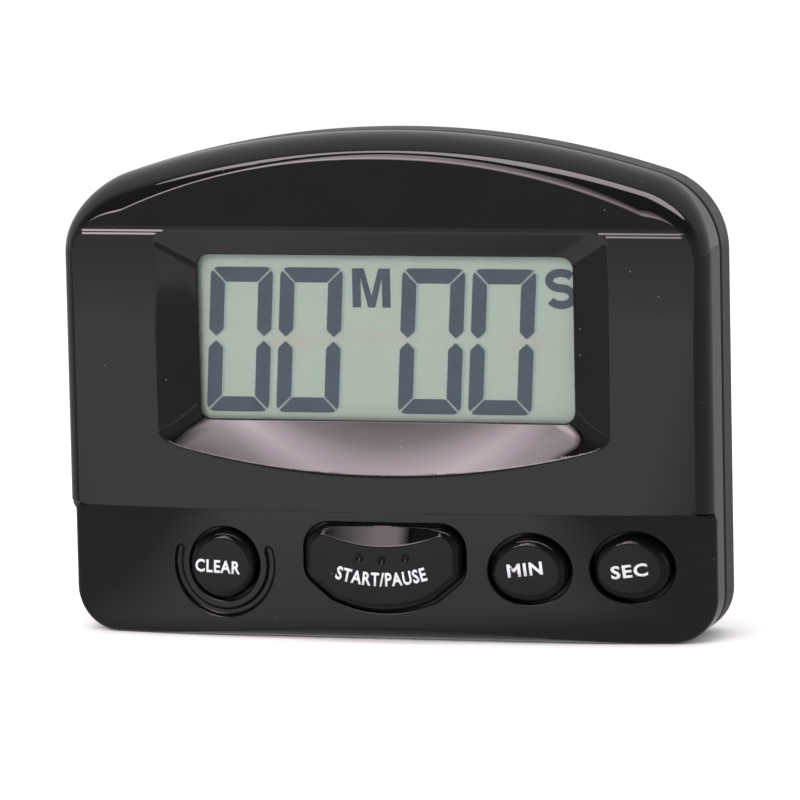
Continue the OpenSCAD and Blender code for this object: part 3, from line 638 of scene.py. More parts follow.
def frontDepth(x, z):
    d, arch = caseInset(x, z)
    lean = math.tan(math.radians(front["visorLean"]))
    depth = softMax(0 * x, (z - front["visorZ"]) * lean, 0.05)
    depth = softMax(depth, bezelDepth(x, z), 0.1)
    depth = depth + lipDepth(x, z, windowLoop, front["windowLip"])
    deck = deckDepth(x)
    step = softMin(deck, deck - 8 * (z - front["deckZ"]), 0.15)
    depth = softMax(depth, step, 0.25 * np.clip(deck / 0.8, 0.02, 1))
    # Arc groove round the clear key, with rounded ends.
    dx, dz = x - clearAt[0], z - clearAt[1]
    end = arcGroove["endZ"] - clearAt[1]
    endX = math.sqrt(arcGroove["radius"] ** 2 - end ** 2)
    away = np.abs(np.hypot(dx, dz) - arcGroove["radius"])
    away = np.where(dz < end, away, np.hypot(np.abs(dx) - endX, dz - end))
    depth = depth + arcGroove["depth"] * smooth(arcGroove["width"] / 2 - away, -0.05, 0.4)
    for loop in holeLoops.values():
        depth = depth + lipDepth(x, z, loop, front["keyLip"])
    radius = front["sideEdge"][0] + (front["topEdge"][0] - front["sideEdge"][0]) * arch
    at = front["sideEdge"][1] + (front["topEdge"][1] - front["sideEdge"][1]) * arch
    wide = 1 - smooth(np.abs(x - crease["middle"]), *crease["fade"])
    blend = crease["narrow"] + (crease["wide"] - crease["narrow"]) * wide * arch
    depth = softMax(depth, edgeDepth(d, radius, at), blend)
    low = z < front["deckZ"]
    return np.where(low, softMax(depth, deck + edgeDepth(d, 0.9, 0.85), 0.1), depth)


def frontBack(x, z):
    d, arch = caseInset(x, z)
    h = 0.05
    skin = frontDepth(x, z)
    slope = np.hypot(frontDepth(x + h, z) - skin, frontDepth(x, z + h) - skin) / h
    depth = skin + caseSize["wall"] * np.sqrt(1 + np.clip(slope, 0, 1.5) ** 2)
    half, low, high, floor = front["seat"]
    inSeat = (np.abs(x) < half) & (z > low) & (z < high)
    depth = np.where(inSeat, np.minimum(depth, np.maximum(floor, skin + 0.4)), depth)
    half, low, high, floor = front["pocket"]
    inPocket = (np.abs(x) < half) & (z > low) & (z < high)
    depth = np.where(inPocket & ~inSeat, np.minimum(depth, floor), depth)
    r = caseSize["grooveLip"]
    rim = caseSize["frontEnd"] - r + np.sqrt(np.clip(r * r - (r - np.clip(d, 0, r)) ** 2, 0, None))
    depth = np.where(d < front["rebate"] + 0.005, caseSize["frontEnd"] - front["rebateDepth"], depth)
    return np.where(d < front["rimWidth"] + 0.005, rim, depth)


def frontKeep(x, z):
    keep = loopInset(x, z, windowLoop) < 0
    for loop in holeLoops.values():
        keep &= loopInset(x, z, loop) < 0
    return keep


def frontClouds():
    rings = [0.02, 0.06, 0.12, 0.2, 0.35, 0.55, 0.8, 1.0, 1.02, 1.25, 1.4, 1.5, 1.6, 1.7, 1.8, 1.9, 2.0, 2.02,
             2.2]
    rings += list(np.arange(2.3, 4.6, 0.12)) + list(np.arange(4.6, 8.2, 0.2))
    clouds = [caseLoop(r) for r in rings[:20]]
    clouds += [loop[loop[:, 1] > 46] for loop in (caseLoop(r) for r in rings[20:])]
    grow = (0.05, 0.1, 0.16, 0.21, 0.26, 0.45, 0.8)
    for circles, limit in keyForms.values():
        clouds += [hullLoop(circles, front["keyGap"] + g, limit) for g in grow]
    clouds += [rectLoop(*windowBox, front["windowCorner"], g, 0.3) for g in (0.05, 0.1, 0.15, 0.2, 0.25, 0.4)]
    # Bevels of the recess, the line of its foot, and their meeting with the panel.
    grid = gridPoints(-31.5, 31.5, 21.5, 55, 0.42)
    clouds.append(grid[loopInset(*grid.T, windowLoop) < -0.45])
    foot = np.arange(-31, 31.01, 0.5)
    for g in np.arange(-0.5, 0.51, 0.1):
        clouds.append(rowPoints(foot, bezelLow(foot) + g))
        clouds.append(rowPoints(foot, front["bezelTop"] + g))
        upright = np.arange(25, 55, 0.5)
        for s in (-1, 1):
            clouds.append(np.stack([s * (front["bezelHalf"] + g) + 0 * upright, upright], 1))
    wide = np.arange(-43, 43.01, 0.8)
    for g in (-0.4, -0.2, -0.1, 0, 0.1, 0.2, 0.4):
        clouds.append(rowPoints(wide, front["visorZ"] + g))
    for r in np.arange(5.3, 7.9, 0.13):
        clouds.append(ringLoop(*clearAt, r, 120))
    grid = gridPoints(-43, 43, 1, 66, 1.3)
    clouds.append(grid[caseInset(*grid.T)[0] > np.where(grid[:, 1] < 46, 2.3, 8.2)])
    # Close to the step only its own rows count, so that its triangles stay even.
    reach = front["stepReach"]
    clouds = [c[(np.abs(c[:, 1] - front["deckZ"]) > reach) | (np.abs(c[:, 0]) > 41.5)] for c in clouds]
    fine = np.arange(-41.4, 41.41, 0.3)
    return clouds + [rowPoints(fine, front["deckZ"] + g) for g in front["stepRows"]]


def inCase(clouds, loops, margin=pointGap):
    out = []
    for cloud in clouds:
        x, z = cloud.T
        keep = caseInset(x, z)[0] > margin
        for loop in loops:
            keep &= np.abs(loopInset(x, z, loop)) > margin
            keep &= loopInset(x, z, loop) < 0
        out.append(cloud[keep])
    return out


# Gloss black ABS out of a polished mould: deep black, sharp reflections, faint waviness, specks of dust.
dustLook = {"spacing": 3.5, "edge": (0.022, 0.03), "colour": "#8a8a88"}


def makeGlossBlack(name, specks=0.5):
    material, tree, surface, place = newMaterial(name)
    tone = mottle(tree, place, 9, ((0.3, "#070708"), (0.7, "#09090a")))[1]
    dust = addNode(tree, "ShaderNodeTexVoronoi", {"Scale": 1000 / dustLook["spacing"]}, {"Vector": place})
    near = addNode(tree, "ShaderNodeMapRange", between(*dustLook["edge"], specks, 0.0),
                   {"Value": dust.outputs["Distance"]})
    mix = addNode(tree, "ShaderNodeMix", {"data_type": "RGBA", 7: linear(dustLook["colour"])},
                  {"Factor": near, 6: tone})
    tree.links.new(mix.outputs[2], surface.inputs["Base Color"])
    gloss = mottle(tree, place, 14, ((0.35, 0.03), (0.7, 0.055)), 4)[1]
    tree.links.new(gloss, surface.inputs["Roughness"])
    wave = addNode(tree, "ShaderNodeTexNoise", {"Scale": 1000 / 16, "Detail": 1}, {"Vector": place})
    bump = addNode(tree, "ShaderNodeBump", {"Strength": 0.35, "Distance": 0.04 * mm}, {"Height": wave})
    tree.links.new(bump.outputs[0], surface.inputs["Normal"])
    surface.inputs["IOR"].default_value = 1.5
    return material


glossBlack = makeGlossBlack("glossBlackAbs")
# The same plastic with a light mould texture, so highlights spread.
satinBlack = makeFinish("satinBlackAbs", ("#0e0e0f", "#121213"), (0.34, 0.42), 0.35, 0.004, IOR=1.5)


def makeFrontShell():
    loops = [caseLoop(0), windowLoop] + list(holeLoops.values())
    clouds = inCase(frontClouds(), loops[1:])
    points, faces, normals = sheetSolid(loops, clouds, frontKeep, frontDepth, frontBack)
    shell = pieceFrom("front_shell", points, faces, glossBlack, normals, "case")
    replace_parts(shell, "front_casing")
    print("front shell", len(faces), "faces")


makeFrontShell()


# Two fine raised rules on either side of the recess; each is a long prism with wedge ends.
def makeRules():
    points, faces = [], []
    for side in (-1, 1):
        for top, start in zip(fineLine["tops"], fineLine["from"]):
            ends = sorted((side * start, side * fineLine["to"]))
            crest = top - fineLine["high"]
            base, root = fineLine["base"], crest - fineLine["root"]
            profile = ((top, base), (top, 0), (crest, -fineLine["out"]), (root, 0), (crest, base))
            first = len(points)
            tip = fineLine["tip"]
            for x, share in ((ends[0], 0), (ends[0] + tip, 1), (ends[1] - tip, 1), (ends[1], 0)):
                points += [(x, y * share + 0.03 * (1 - share), z) for z, y in profile]
            n = len(profile)
            for i in range(3):
                for j in range(n):
                    a, b = first + i * n + j, first + i * n + (j + 1) % n
                    faces.append([b, a, a + n, b + n])
            faces.append(list(range(first, first + n)))
            faces.append(list(range(first + 4 * n - 1, first + 3 * n - 1, -1)))
    pieceFrom("recess_rules", points, faces, glossBlack, None, "case")


makeRules()


# Rear shell.

rear = {
    "edge": 3.5, "backWall": 1.8, "tongue": (1.15, 1.95), "tongueDepth": 8.1,
    "lip": 0.2, "coverHole": 8.8, "notchRadius": 9.8, "notchHalf": 16.0, "notchDepth": 1.12,
    "coverRoof": 16.3, "hole": 0.7, "holeRing": 3.2, "pitWall": 0.04,
}
coverAt, magnetAt, soundAt = (22.0, 44.2), (0.0, 47.7), (-20.5, 44.2)
screwAt = [(-38, 22.5), (38, 22.5), (-35, 50), (35, 50)]
standBox = (-16.3, 16.3, 5.3, 32.4)
# outlines of the hollows in the back with how deep they go, and of the walls behind them with where those end
pits = [(rectLoop(*standBox, 0.4), 2.4), (ringLoop(0, 5.6, 3.0, 48), 2.2),
        (ringLoop(*magnetAt, 8.6, 96), 3.2)]
pits += [(ringLoop(*at, 2.55, 40), 4.3) for at in screwAt]
pitWalls = [(rectLoop(*standBox, 0.4, 1.2), 13.6), (ringLoop(*magnetAt, 9.7, 96), 13.1),
            (ringLoop(0, 5.6, 4.2, 48), 13.6)]
pitWalls += [(ringLoop(*at, 3.7, 40), 11.6) for at in screwAt]
coverLoop = ringLoop(*coverAt, rear["coverHole"], 120)
soundPlaces = [soundAt] + [
    (soundAt[0] + rear["holeRing"] * math.cos(a), soundAt[1] + rear["holeRing"] * math.sin(a))
    for a in np.radians(range(0, 360, 60))]
soundLoops = [ringLoop(*at, rear["hole"], 20) for at in soundPlaces]


def rearDepth(x, z):
    d = caseInset(x, z)[0]
    edge = rear["edge"]
    inner = edge - np.clip(d, 0, edge)
    depth = caseSize["depth"] - edge + np.sqrt(np.clip(edge ** 2 - inner ** 2, 0, None))
    for loop, deep in pits:
        inset = loopInset(x, z, loop)
        depth = depth - lipDepth(x, z, loop, rear["lip"])
        floor = caseSize["depth"] - deep * np.clip(inset / rear["pitWall"], 0, 1)
        depth = np.where(inset > 0, np.minimum(depth, floor), depth)
    for loop in [coverLoop] + soundLoops:
        depth = depth - lipDepth(x, z, loop, rear["lip"])
    dx, dz = x - coverAt[0], z - coverAt[1]
    angle = np.degrees(np.arctan2(dz, dx))
    off = np.abs((angle - 60 + 60) % 120 - 60)
    inNotch = (np.hypot(dx, dz) < rear["notchRadius"]) & (off < rear["notchHalf"])
    return np.where(inNotch, np.minimum(depth, caseSize["depth"] - rear["notchDepth"]), depth)


def rearFront(x, z):
    d = caseInset(x, z)[0]
    depth = rearDepth(x, z) - rear["backWall"]
    for loop, floor in pitWalls:
        depth = np.where(loopInset(x, z, loop) > 0, np.minimum(depth, floor), depth)
    nearCover = np.hypot(x - coverAt[0], z - coverAt[1]) < 10.1
    depth = np.where(nearCover, rear["coverRoof"], depth)
    low, high = rear["tongue"]
    r = caseSize["grooveLip"]
    rim = caseSize["rearStart"] + r - np.sqrt(np.clip(r * r - (r - np.clip(d, 0, r)) ** 2, 0, None))
    depth = np.where(d < 2.005, caseSize["rearStart"], depth)
    depth = np.where((d > low) & (d < high), rear["tongueDepth"], depth)
    return np.where(d <= low, rim, depth)


def rearKeep(x, z):
    keep = np.hypot(x - coverAt[0], z - coverAt[1]) > rear["coverHole"] * 0.9985
    for loop in soundLoops:
        keep &= loopInset(x, z, loop) < 0
    return keep


def makeRearShell():
    rings = [0.02, 0.06, 0.12, 0.2, 0.32, 0.45, 0.8, 1.1, 1.14, 1.16, 1.5, 1.94, 1.96, 2.0, 2.02, 2.4, 2.9,
             3.4, 4, 4.6, 5]
    clouds = [caseLoop(r, 1.2) for r in rings]
    clouds += [ringLoop(0, 5.6, 3.0 + g, 48) for g in (-0.04, 0, 0.05, 0.1, 0.15, 0.2, 0.3)]
    for g in (-0.04, 0, 0.05, 0.1, 0.15, 0.2, 0.3, 1.19, 1.21):
        clouds.append(rectLoop(*standBox, 0.4, g, 0.8))
    for centre, r, wall, count in [(magnetAt, 8.6, 9.7, 96)] + [(at, 2.55, 3.7, 40) for at in screwAt]:
        grows = (-0.3, -0.04, 0, 0.05, 0.1, 0.15, 0.2, 0.3, wall - r - 0.01, wall - r + 0.01)
        clouds += [ringLoop(*centre, r + g, count) for g in grows]
    clouds += [ringLoop(*coverAt, r, 180) for r in (8.85, 8.9, 8.95, 9.0, 9.1, 9.4, 9.79, 9.81, 10.09, 10.11)]
    clouds += [ringLoop(*loop.mean(0), rear["hole"] + g, 20)
               for loop in soundLoops for g in (0.05, 0.1, 0.15, 0.2, 0.3)]
    grid = gridPoints(-43, 43, 1, 66, 1.6)
    clouds.append(grid[caseInset(*grid.T)[0] > 5.3])
    loops = [caseLoop(0, 1.2), coverLoop] + soundLoops
    clouds = inCase(clouds, loops[1:])
    points, faces, normals = sheetSolid(loops, clouds, rearKeep, rearFront, rearDepth)
    shell = pieceFrom("rear_shell", points, faces, satinBlack, normals, "case")
    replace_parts(shell, "rear_casing")
    print("rear shell", len(faces), "faces")


makeRearShell()


# Keys.

keyShape = {
    "edgeWidth": 1.6, "edgeDrop": 1.7, "crease": 0.12, "flangeOut": 0.8, "flangeThick": 0.8, "stem": 2.2,
    "stemEnd": 6.45, "flange": {"clear": 3.7, "start": 2.13, "minute": 3.0, "second": 4.8},
    "face": {"clear": -0.333, "start": -1.5, "minute": -0.568, "second": 0.809},
}
startTop = {"middle": 12.9, "rise": 1.8, "half": 8.5, "slope": 0.58}
dimples = {"at": ((-3.15, 11.44), (-0.08, 11.11), (3.13, 11.45)), "radius": 0.55, "depth": 0.26}


# Height at which the start key's face begins to scoop back.
def scoopLine(x):
    return startTop["middle"] + startTop["rise"] * ((x - startAt[0]) / startTop["half"]) ** 2


def everywhere(x, z):
    return np.ones(len(x), bool)


def keyFace(name):
    def depth(x, z):
        face = keyShape["face"][name] + 0 * x
        d = np.clip(loopInset(x, z, keyLoops[name]), 0, keyShape["edgeWidth"]) / keyShape["edgeWidth"]
        edge = keyShape["edgeDrop"] * (1 - np.sqrt(np.clip(1 - (1 - d) ** 2, 0, None))) - keyShape["crease"]
        depth = softMax(face, face + edge, 0.08)
        if name == "start":
            depth = softMax(depth, face + (z - scoopLine(x)) * startTop["slope"], 0.12)
            for cx, cz in dimples["at"]:
                r, deep = dimples["radius"], dimples["depth"]
                ball = (r * r + deep * deep) / (2 * deep)
                away = np.clip(np.hypot(x - cx, z - cz), 0, r)
                depth = depth + np.sqrt(ball ** 2 - away ** 2) - (ball - deep)
        return depth
    return depth


# Gloss black ABS keys: the same polished plastic, with fewer specks and a quieter shine.
keyBlack = makeGlossBlack("glossKeyAbs", 0.35)
keyBlack.node_tree.nodes["Principled BSDF"].inputs["Specular IOR Level"].default_value = 0.32


def makeKey(name, at):
    circles, limit = keyForms[name]
    stop = keyShape["flange"][name]
    loop = keyLoops[name]
    insets = (0.01, 0.03, 0.07, 0.12, 0.2, 0.3, 0.42, 0.55, 0.7, 0.85, 0.92, 0.98, 1.04, 1.1, 1.16, 1.25,
              1.4, 1.6)
    clouds = [hullLoop(circles, -g, limit) for g in insets]
    low, high = loop.min(0), loop.max(0)
    clouds.append(gridPoints(low[0], high[0], low[1], high[1], 0.3 if name == "start" else 0.5))
    clouds += [ringLoop(*at, keyShape["stem"] + g, 48) for g in (-0.01, 0.01)]
    if name == "start":
        radii = (0.15, 0.3, 0.42, 0.5, 0.54, 0.57)
        clouds += [ringLoop(*dimple, r, 32) for dimple in dimples["at"] for r in radii]
        x = np.arange(-9, 9, 0.3)
        clouds += [rowPoints(x, scoopLine(x) + g) for g in (-0.3, -0.2, -0.1, 0, 0.1, 0.2, 0.3)]
    kept = []
    for cloud in clouds:
        inset = loopInset(*cloud.T, loop)
        kept.append(cloud[inset > 0.008])

    def backDepth(x, z):
        return np.where(np.hypot(x - at[0], z - at[1]) < keyShape["stem"], keyShape["stemEnd"],
                        stop + keyShape["flangeThick"])

    points, faces, normals = sheetSolid([loop], kept, everywhere, keyFace(name), backDepth)
    rim = hullLoop(circles, keyShape["flangeOut"] - (0.1 if name in ("minute", "second") else 0), limit)
    ring = sheetSolid([rim], [np.array([at])], everywhere, lambda x, z: stop + 0 * x,
                      lambda x, z: stop + keyShape["flangeThick"] + 0 * x)
    faces += [[i + len(points) for i in face] for face in ring[1]]
    points, normals = np.concatenate([points, ring[0]]), np.concatenate([normals, ring[2]])
    key = pieceFrom(name + "_cap", points, faces, keyBlack, normals, name + "_button")
    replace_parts(key, name + "_key")


for keyName, keyAt in (("clear", clearAt), ("start", startAt), ("minute", minuteAt), ("second", secondAt)):
    makeKey(keyName, keyAt)
print("keys made")


# Display.

digit = {
    "width": 8.6, "height": 19.35, "stroke": 2.0, "corner": 1.15, "gap": 0.14, "tip": 0.28, "shoulder": 1.24,
    "middle": 9.8, "slant": 0.0552, "lowZ": 30.0, "thick": 0.025, "depth": 3.465,
    "at": (-25.07, -15.47, 1.23, 10.83), "shadowShift": (0.36, 0.05), "shadowDepth": 3.492,
    "shadowThick": 0.006,
}


# The six lit segments of a nought, as flat outlines in the digit's own upright frame.
def noughtSegments():
    w, h, s, r, gap = (digit[k] for k in ("width", "height", "stroke", "corner", "gap"))
    turn = math.degrees(math.asin(gap / r))

    def corner(cx, cz, start, end):
        return [(cx + r * math.cos(a), cz + r * math.sin(a)) for a in np.radians(np.linspace(start, end, 6))]

    top = corner(r, h - r, 135 - turn, 90) + corner(w - r, h - r, 90, 45 + turn)
    top += [(w - s - gap, h - s), (s + gap, h - s)]
    side = corner(r, h - r, 180, 135 + turn) + [(s, h - s - gap), (s, digit["middle"] + digit["shoulder"]),
                                                (s / 2, digit["middle"] + digit["tip"]),
                                                (0, digit["middle"] + digit["shoulder"])]
    upper = [top, side, [(w - x, z) for x, z in side]]
    lower = [[(x, 2 * digit["middle"] - z if z < h - s - 1 else h - z) for x, z in part] for part in upper]
    return upper + lower


# Thin plates of an outline between two depths, caps and sides.
def platePieces(outlines, near, far):
    points, faces = [], []
    for outline in outlines:
        area = sum(a[0] * b[1] - b[0] * a[1] for a, b in zip(outline, outline[1:] + outline[:1]))
        if area < 0:
            outline = outline[::-1]
        start, n = len(points), len(outline)
        points += [(x, near, z) for x, z in outline] + [(x, far, z) for x, z in outline]
        faces.append(list(range(start, start + n)))
        faces.append(list(range(start + 2 * n - 1, start + n - 1, -1)))
        faces += [[start + (i + 1) % n, start + i, start + n + i, start + n + (i + 1) % n] for i in range(n)]
    return points, faces


def newTree(name, inputs):
    tree = bpy.data.node_groups.new(name, "GeometryNodeTree")
    tree.interface.new_socket("Geometry", in_out="INPUT", socket_type="NodeSocketGeometry")
    for label, kind in inputs:
        tree.interface.new_socket(label, in_out="INPUT", socket_type="NodeSocket" + kind)
    tree.interface.new_socket("Geometry", in_out="OUTPUT", socket_type="NodeSocketGeometry")
    start, end = addNode(tree, "NodeGroupInput"), addNode(tree, "NodeGroupOutput")
    return tree, start, end


# Runs a tree on an object and leaves the result as its plain mesh.
def bakeTree(piece, tree, values):
    modifier = piece.modifiers.new("nodes", "NODES")
    modifier.node_group = tree
    for item in tree.interface.items_tree:
        if item.item_type == "SOCKET" and item.in_out == "INPUT" and item.name in values:
            modifier[item.identifier] = values[item.name]
    graph = bpy.context.evaluated_depsgraph_get()
    mesh = bpy.data.meshes.new_from_object(piece.evaluated_get(graph), depsgraph=graph)
    piece.modifiers.clear()
    old = piece.data
    piece.data = mesh
    mesh.name = piece.name
    bpy.data.meshes.remove(old)


# Copies of one object on points, as plain mesh with one material.
def copyTree():
    tree, start, end = newTree("copiesOnPoints", (("Copied", "Object"), ("Finish", "Material")))
    copied = addNode(tree, "GeometryNodeObjectInfo", {"transform_space": "ORIGINAL"},
                     {"Object": start.outputs["Copied"]})
    spread = addNode(tree, "GeometryNodeInstanceOnPoints", None,
                     {"Points": start.outputs["Geometry"], "Instance": copied.outputs["Geometry"]})
    real = addNode(tree, "GeometryNodeRealizeInstances", None, {0: spread})
    coated = addNode(tree, "GeometryNodeSetMaterial", None,
                     {"Geometry": real, "Material": start.outputs["Finish"]})
    tree.links.new(coated.outputs[0], end.inputs[0])
    return tree


copies = copyTree()


def copiesAt(name, places, template, material, body):
    piece = placeObject(name, meshFrom(name, places, [], panelY))
    bakeTree(piece, copies, {"Copied": template, "Finish": material})
    bpy.data.objects.remove(template)
    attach(piece, body)


# Liquid crystal between glass: slate blue grey, a soft sheen and a slight unevenness.
segmentInk = makeFinish("liquidCrystalSegments", ("#3b4751", "#414c57"), (0.3, 0.36), 2.5, 0)
# The segments' shadow on the reflector behind: the ground a shade darker and bluer.
segmentShade = makeFinish("segmentShadow", ("#82968f", "#889b95"), (0.35, 0.4), 2.0, 0)


def makeDigits():
    slanted = [[(x + digit["slant"] * z, z) for x, z in part] for part in noughtSegments()]
    layers = (
        ("display_digits", segmentInk, digit["depth"], digit["thick"], (0, 0)),
        ("display_shadows", segmentShade, digit["shadowDepth"], digit["shadowThick"], digit["shadowShift"]),
    )
    for name, finish, depth, thick, shift in layers:
        template = placeObject(name + "_template", meshFrom(name, *platePieces(slanted, 0, thick)))
        places = [(x + shift[0], depth, digit["lowZ"] + shift[1]) for x in digit["at"]]
        copiesAt(name, places, template, finish, "case")


makeDigits()


# Lettering as a thin printed plate: letters along a smile-shaped arc of radius bend, or straight.
def makeLettering(name, text, width, height, at, depth, thick, tilt, bend, bold, material, body):
    font = bpy.data.curves.new(name, "FONT")
    font.body, font.align_x, font.align_y = text, "CENTER", "CENTER"
    font.offset, font.resolution_u = bold, 3
    font.space_character = 1.1
    holder = placeObject(name, font)
    graph = bpy.context.evaluated_depsgraph_get()
    graph.update()
    mesh = bpy.data.meshes.new_from_object(holder.evaluated_get(graph), depsgraph=graph)
    bpy.data.objects.remove(holder)
    work = bmesh.new()
    work.from_mesh(mesh)
    bpy.data.meshes.remove(mesh)
    bmesh.ops.remove_doubles(work, verts=work.verts, dist=1e-5)
    bmesh.ops.triangulate(work, faces=work.faces)
    if bend:
        bmesh.ops.subdivide_edges(work, edges=[e for e in work.edges if e.calc_length() > 0.25], cuts=1)
        bmesh.ops.triangulate(work, faces=work.faces)
    co = np.array([v.co for v in work.verts])
    low, high = co.min(0), co.max(0)
    local = (co - (low + high) / 2)[:, :2] / (high - low)[:2] * (width, height)
    if bend:
        angle = local[:, 0] / bend
        reach = bend - local[:, 1]
        local = np.stack([reach * np.sin(angle), bend - reach * np.cos(angle)], 1)
    c, s = math.cos(math.radians(tilt)), math.sin(math.radians(tilt))
    for v, (x, z) in zip(work.verts, local @ np.array([[c, s], [-s, c]])):
        v.co = ((at[0] + x) * mm, depth * mm + panelY, (at[1] + z) * mm)
    bmesh.ops.recalc_face_normals(work, faces=work.faces)
    if work.faces[0].normal.y > 0:
        bmesh.ops.reverse_faces(work, faces=work.faces)
    grown = bmesh.ops.extrude_face_region(work, geom=work.faces[:])
    for v in (g for g in grown["geom"] if isinstance(g, bmesh.types.BMVert)):
        v.co.y += thick * mm
    bmesh.ops.recalc_face_normals(work, faces=work.faces)
    mesh = bpy.data.meshes.new(name)
    work.to_mesh(mesh)
    work.free()
    mesh.materials.append(material)
    makePiece(name, mesh, body)


minuteSign = {"low": (-4.6, 44.1), "width": 5.2, "height": 5.2, "stem": 1.15, "notch": 1.55, "foot": 0.5}
secondSign = {"low": (21.6, 44.15), "width": 4.3, "height": 5.35, "stroke": 1.1, "share": 0.48, "mouth": 28}


def makeSign(name, outline):
    points, faces = platePieces([outline], digit["depth"], digit["depth"] + digit["thick"])
    pieceFrom(name, points, faces, segmentInk, None, "case")


def makeMinuteSign():
    w, h, stem, notch, foot = (minuteSign[k] for k in ("width", "height", "stem", "notch", "foot"))
    half = [(0, 0), (0, h), (stem + 0.45, h), (w / 2, notch)]
    inner = [(w / 2 + foot, 0), (w - stem, h - 1.3), (w - stem, 0)]
    outline = half + [(w - x, z) for x, z in half[-2::-1]] + [(x, z) for x, z in inner[::-1]]
    outline += [(w - x, z) for x, z in inner]
    x0, z0 = minuteSign["low"]
    makeSign("display_minutes_sign", [(x0 + x, z0 + z) for x, z in outline])


# Stroke of even width along the two bows of the letter.
def makeSecondSign():
    w, h, stroke, turn = (secondSign[k] for k in ("width", "height", "stroke", "mouth"))
    rx, upper = (w - stroke) / 2, (h - stroke) * secondSign["share"] / 2
    lower = (h - stroke) / 2 - upper
    path = [(w / 2 + rx * math.cos(a), h - stroke / 2 - upper + upper * math.sin(a))
            for a in np.radians(np.linspace(turn, 270, 22))]
    path += [(w / 2 + rx * math.cos(a), stroke / 2 + lower + lower * math.sin(a))
             for a in np.radians(np.linspace(80, turn - 180, 22))]
    path = np.array(path)
    along = np.gradient(path, axis=0)
    across = np.stack([-along[:, 1], along[:, 0]], 1) / np.hypot(*along.T)[:, None] * stroke / 2
    outline = (np.concatenate([path + across, (path - across)[::-1]]) + secondSign["low"]).tolist()
    makeSign("display_seconds_sign", outline)


makeMinuteSign()
makeSecondSign()

# Pad-printed white ink: matt, slightly grey where the ink is thin.
whiteInk = makeFinish("whitePadPrint", ("#c4c6ca", "#d2d4d8"), (0.45, 0.6), 0.6, 0.004)
legends = {
    # text, width, cap height, centre, tilt, arc radius, key
    "clear": ("CLEAR", 6.2, 1.75, (-22.95, 9.65), -3.0, 0),
    "start": ("START/PAUSE", 12.4, 1.85, (-0.15, 8.55), 0.0, 21.0),
    "minute": ("MIN", 4.8, 1.75, (19.15, 10.15), 6.4, 0),
    "second": ("SEC", 5.0, 1.75, (32.9, 10.0), 7.0, 0),
}
ink = {"proud": 0.012, "thick": 0.03, "bold": 0.028}
for keyName, (text, width, height, at, tilt, bend) in legends.items():
    makeLettering(keyName + "_legend", text, width, height, at, keyShape["face"][keyName] - ink["proud"],
                  ink["thick"], tilt, bend, ink["bold"], whiteInk, keyName + "_button")
print("display and lettering made")


# Finishes of the pieces that stay as they are.

# Reflective liquid-crystal cell: grey green ground, fine grain and a faint warm stain at half height, with
# painted shade along its left edge and its sill, where the window's lip would shade it. Each fade is start,
# end and the shares there, over metres.
cell = {
    "ground": ((0.3, "#95a598"), (0.7, "#9aaa9d")), "stain": "#9f9b93", "stainZ": 0.0398, "paintedShade": "#3c403e",
    "stainFade": (0.0005, 0.0018, 0.5, 0.0), "leftShadowFade": (-0.0262, -0.0248, 0.45, 1.0),
    "sillShadowFade": (0.029, 0.0298, 0.7, 1.0), "roughness": 0.45,
}


def makeDisplayGround():
    material, tree, surface, place = newMaterial("liquidCrystalGround")
    axes = addNode(tree, "ShaderNodeSeparateXYZ", None, {0: place}).outputs
    grain = mottle(tree, place, 0.35, cell["ground"], 4)[1]
    blotch = mottle(tree, place, 9, ((0.45, 0.0), (0.6, 1.0)), 2)[1]
    offset = addNode(tree, "ShaderNodeMath", {"operation": "SUBTRACT", 1: cell["stainZ"]}, {0: axes["Z"]})
    away = addNode(tree, "ShaderNodeMath", {"operation": "ABSOLUTE"}, {0: offset})
    sources = {"stainFade": away, "leftShadowFade": axes["X"], "sillShadowFade": axes["Z"]}
    stainShare, left, sill = (
        addNode(tree, "ShaderNodeMapRange", {"interpolation_type": "SMOOTHSTEP", **between(*cell[fade])},
                {"Value": source}) for fade, source in sources.items())
    share = addNode(tree, "ShaderNodeMath", {"operation": "MULTIPLY"}, {0: stainShare, 1: blotch})
    stained = addNode(tree, "ShaderNodeMix", {"data_type": "RGBA", 7: linear(cell["stain"])},
                      {"Factor": share, 6: grain})
    # Painted shade: the ground is darkened towards the window's left edge and its sill.
    shade = addNode(tree, "ShaderNodeMath", {"operation": "MULTIPLY"}, {0: left, 1: sill})
    paintedShade = addNode(tree, "ShaderNodeMix", {"data_type": "RGBA", 6: linear(cell["paintedShade"])},
                   {"Factor": shade, 7: stained.outputs[2]})
    tree.links.new(paintedShade.outputs[2], surface.inputs["Base Color"])
    surface.inputs["Roughness"].default_value = cell["roughness"]
    return material


# Cast clear acrylic: nearly invisible, a polished face and faint haze.
def makeClear():
    material = makeFinish("clearAcrylic", ("#262828", "#2c2e2e"), (0.05, 0.09), 12, 0, IOR=1.49)
    material.node_tree.nodes["Principled BSDF"].inputs["Alpha"].default_value = 0.08
    return material


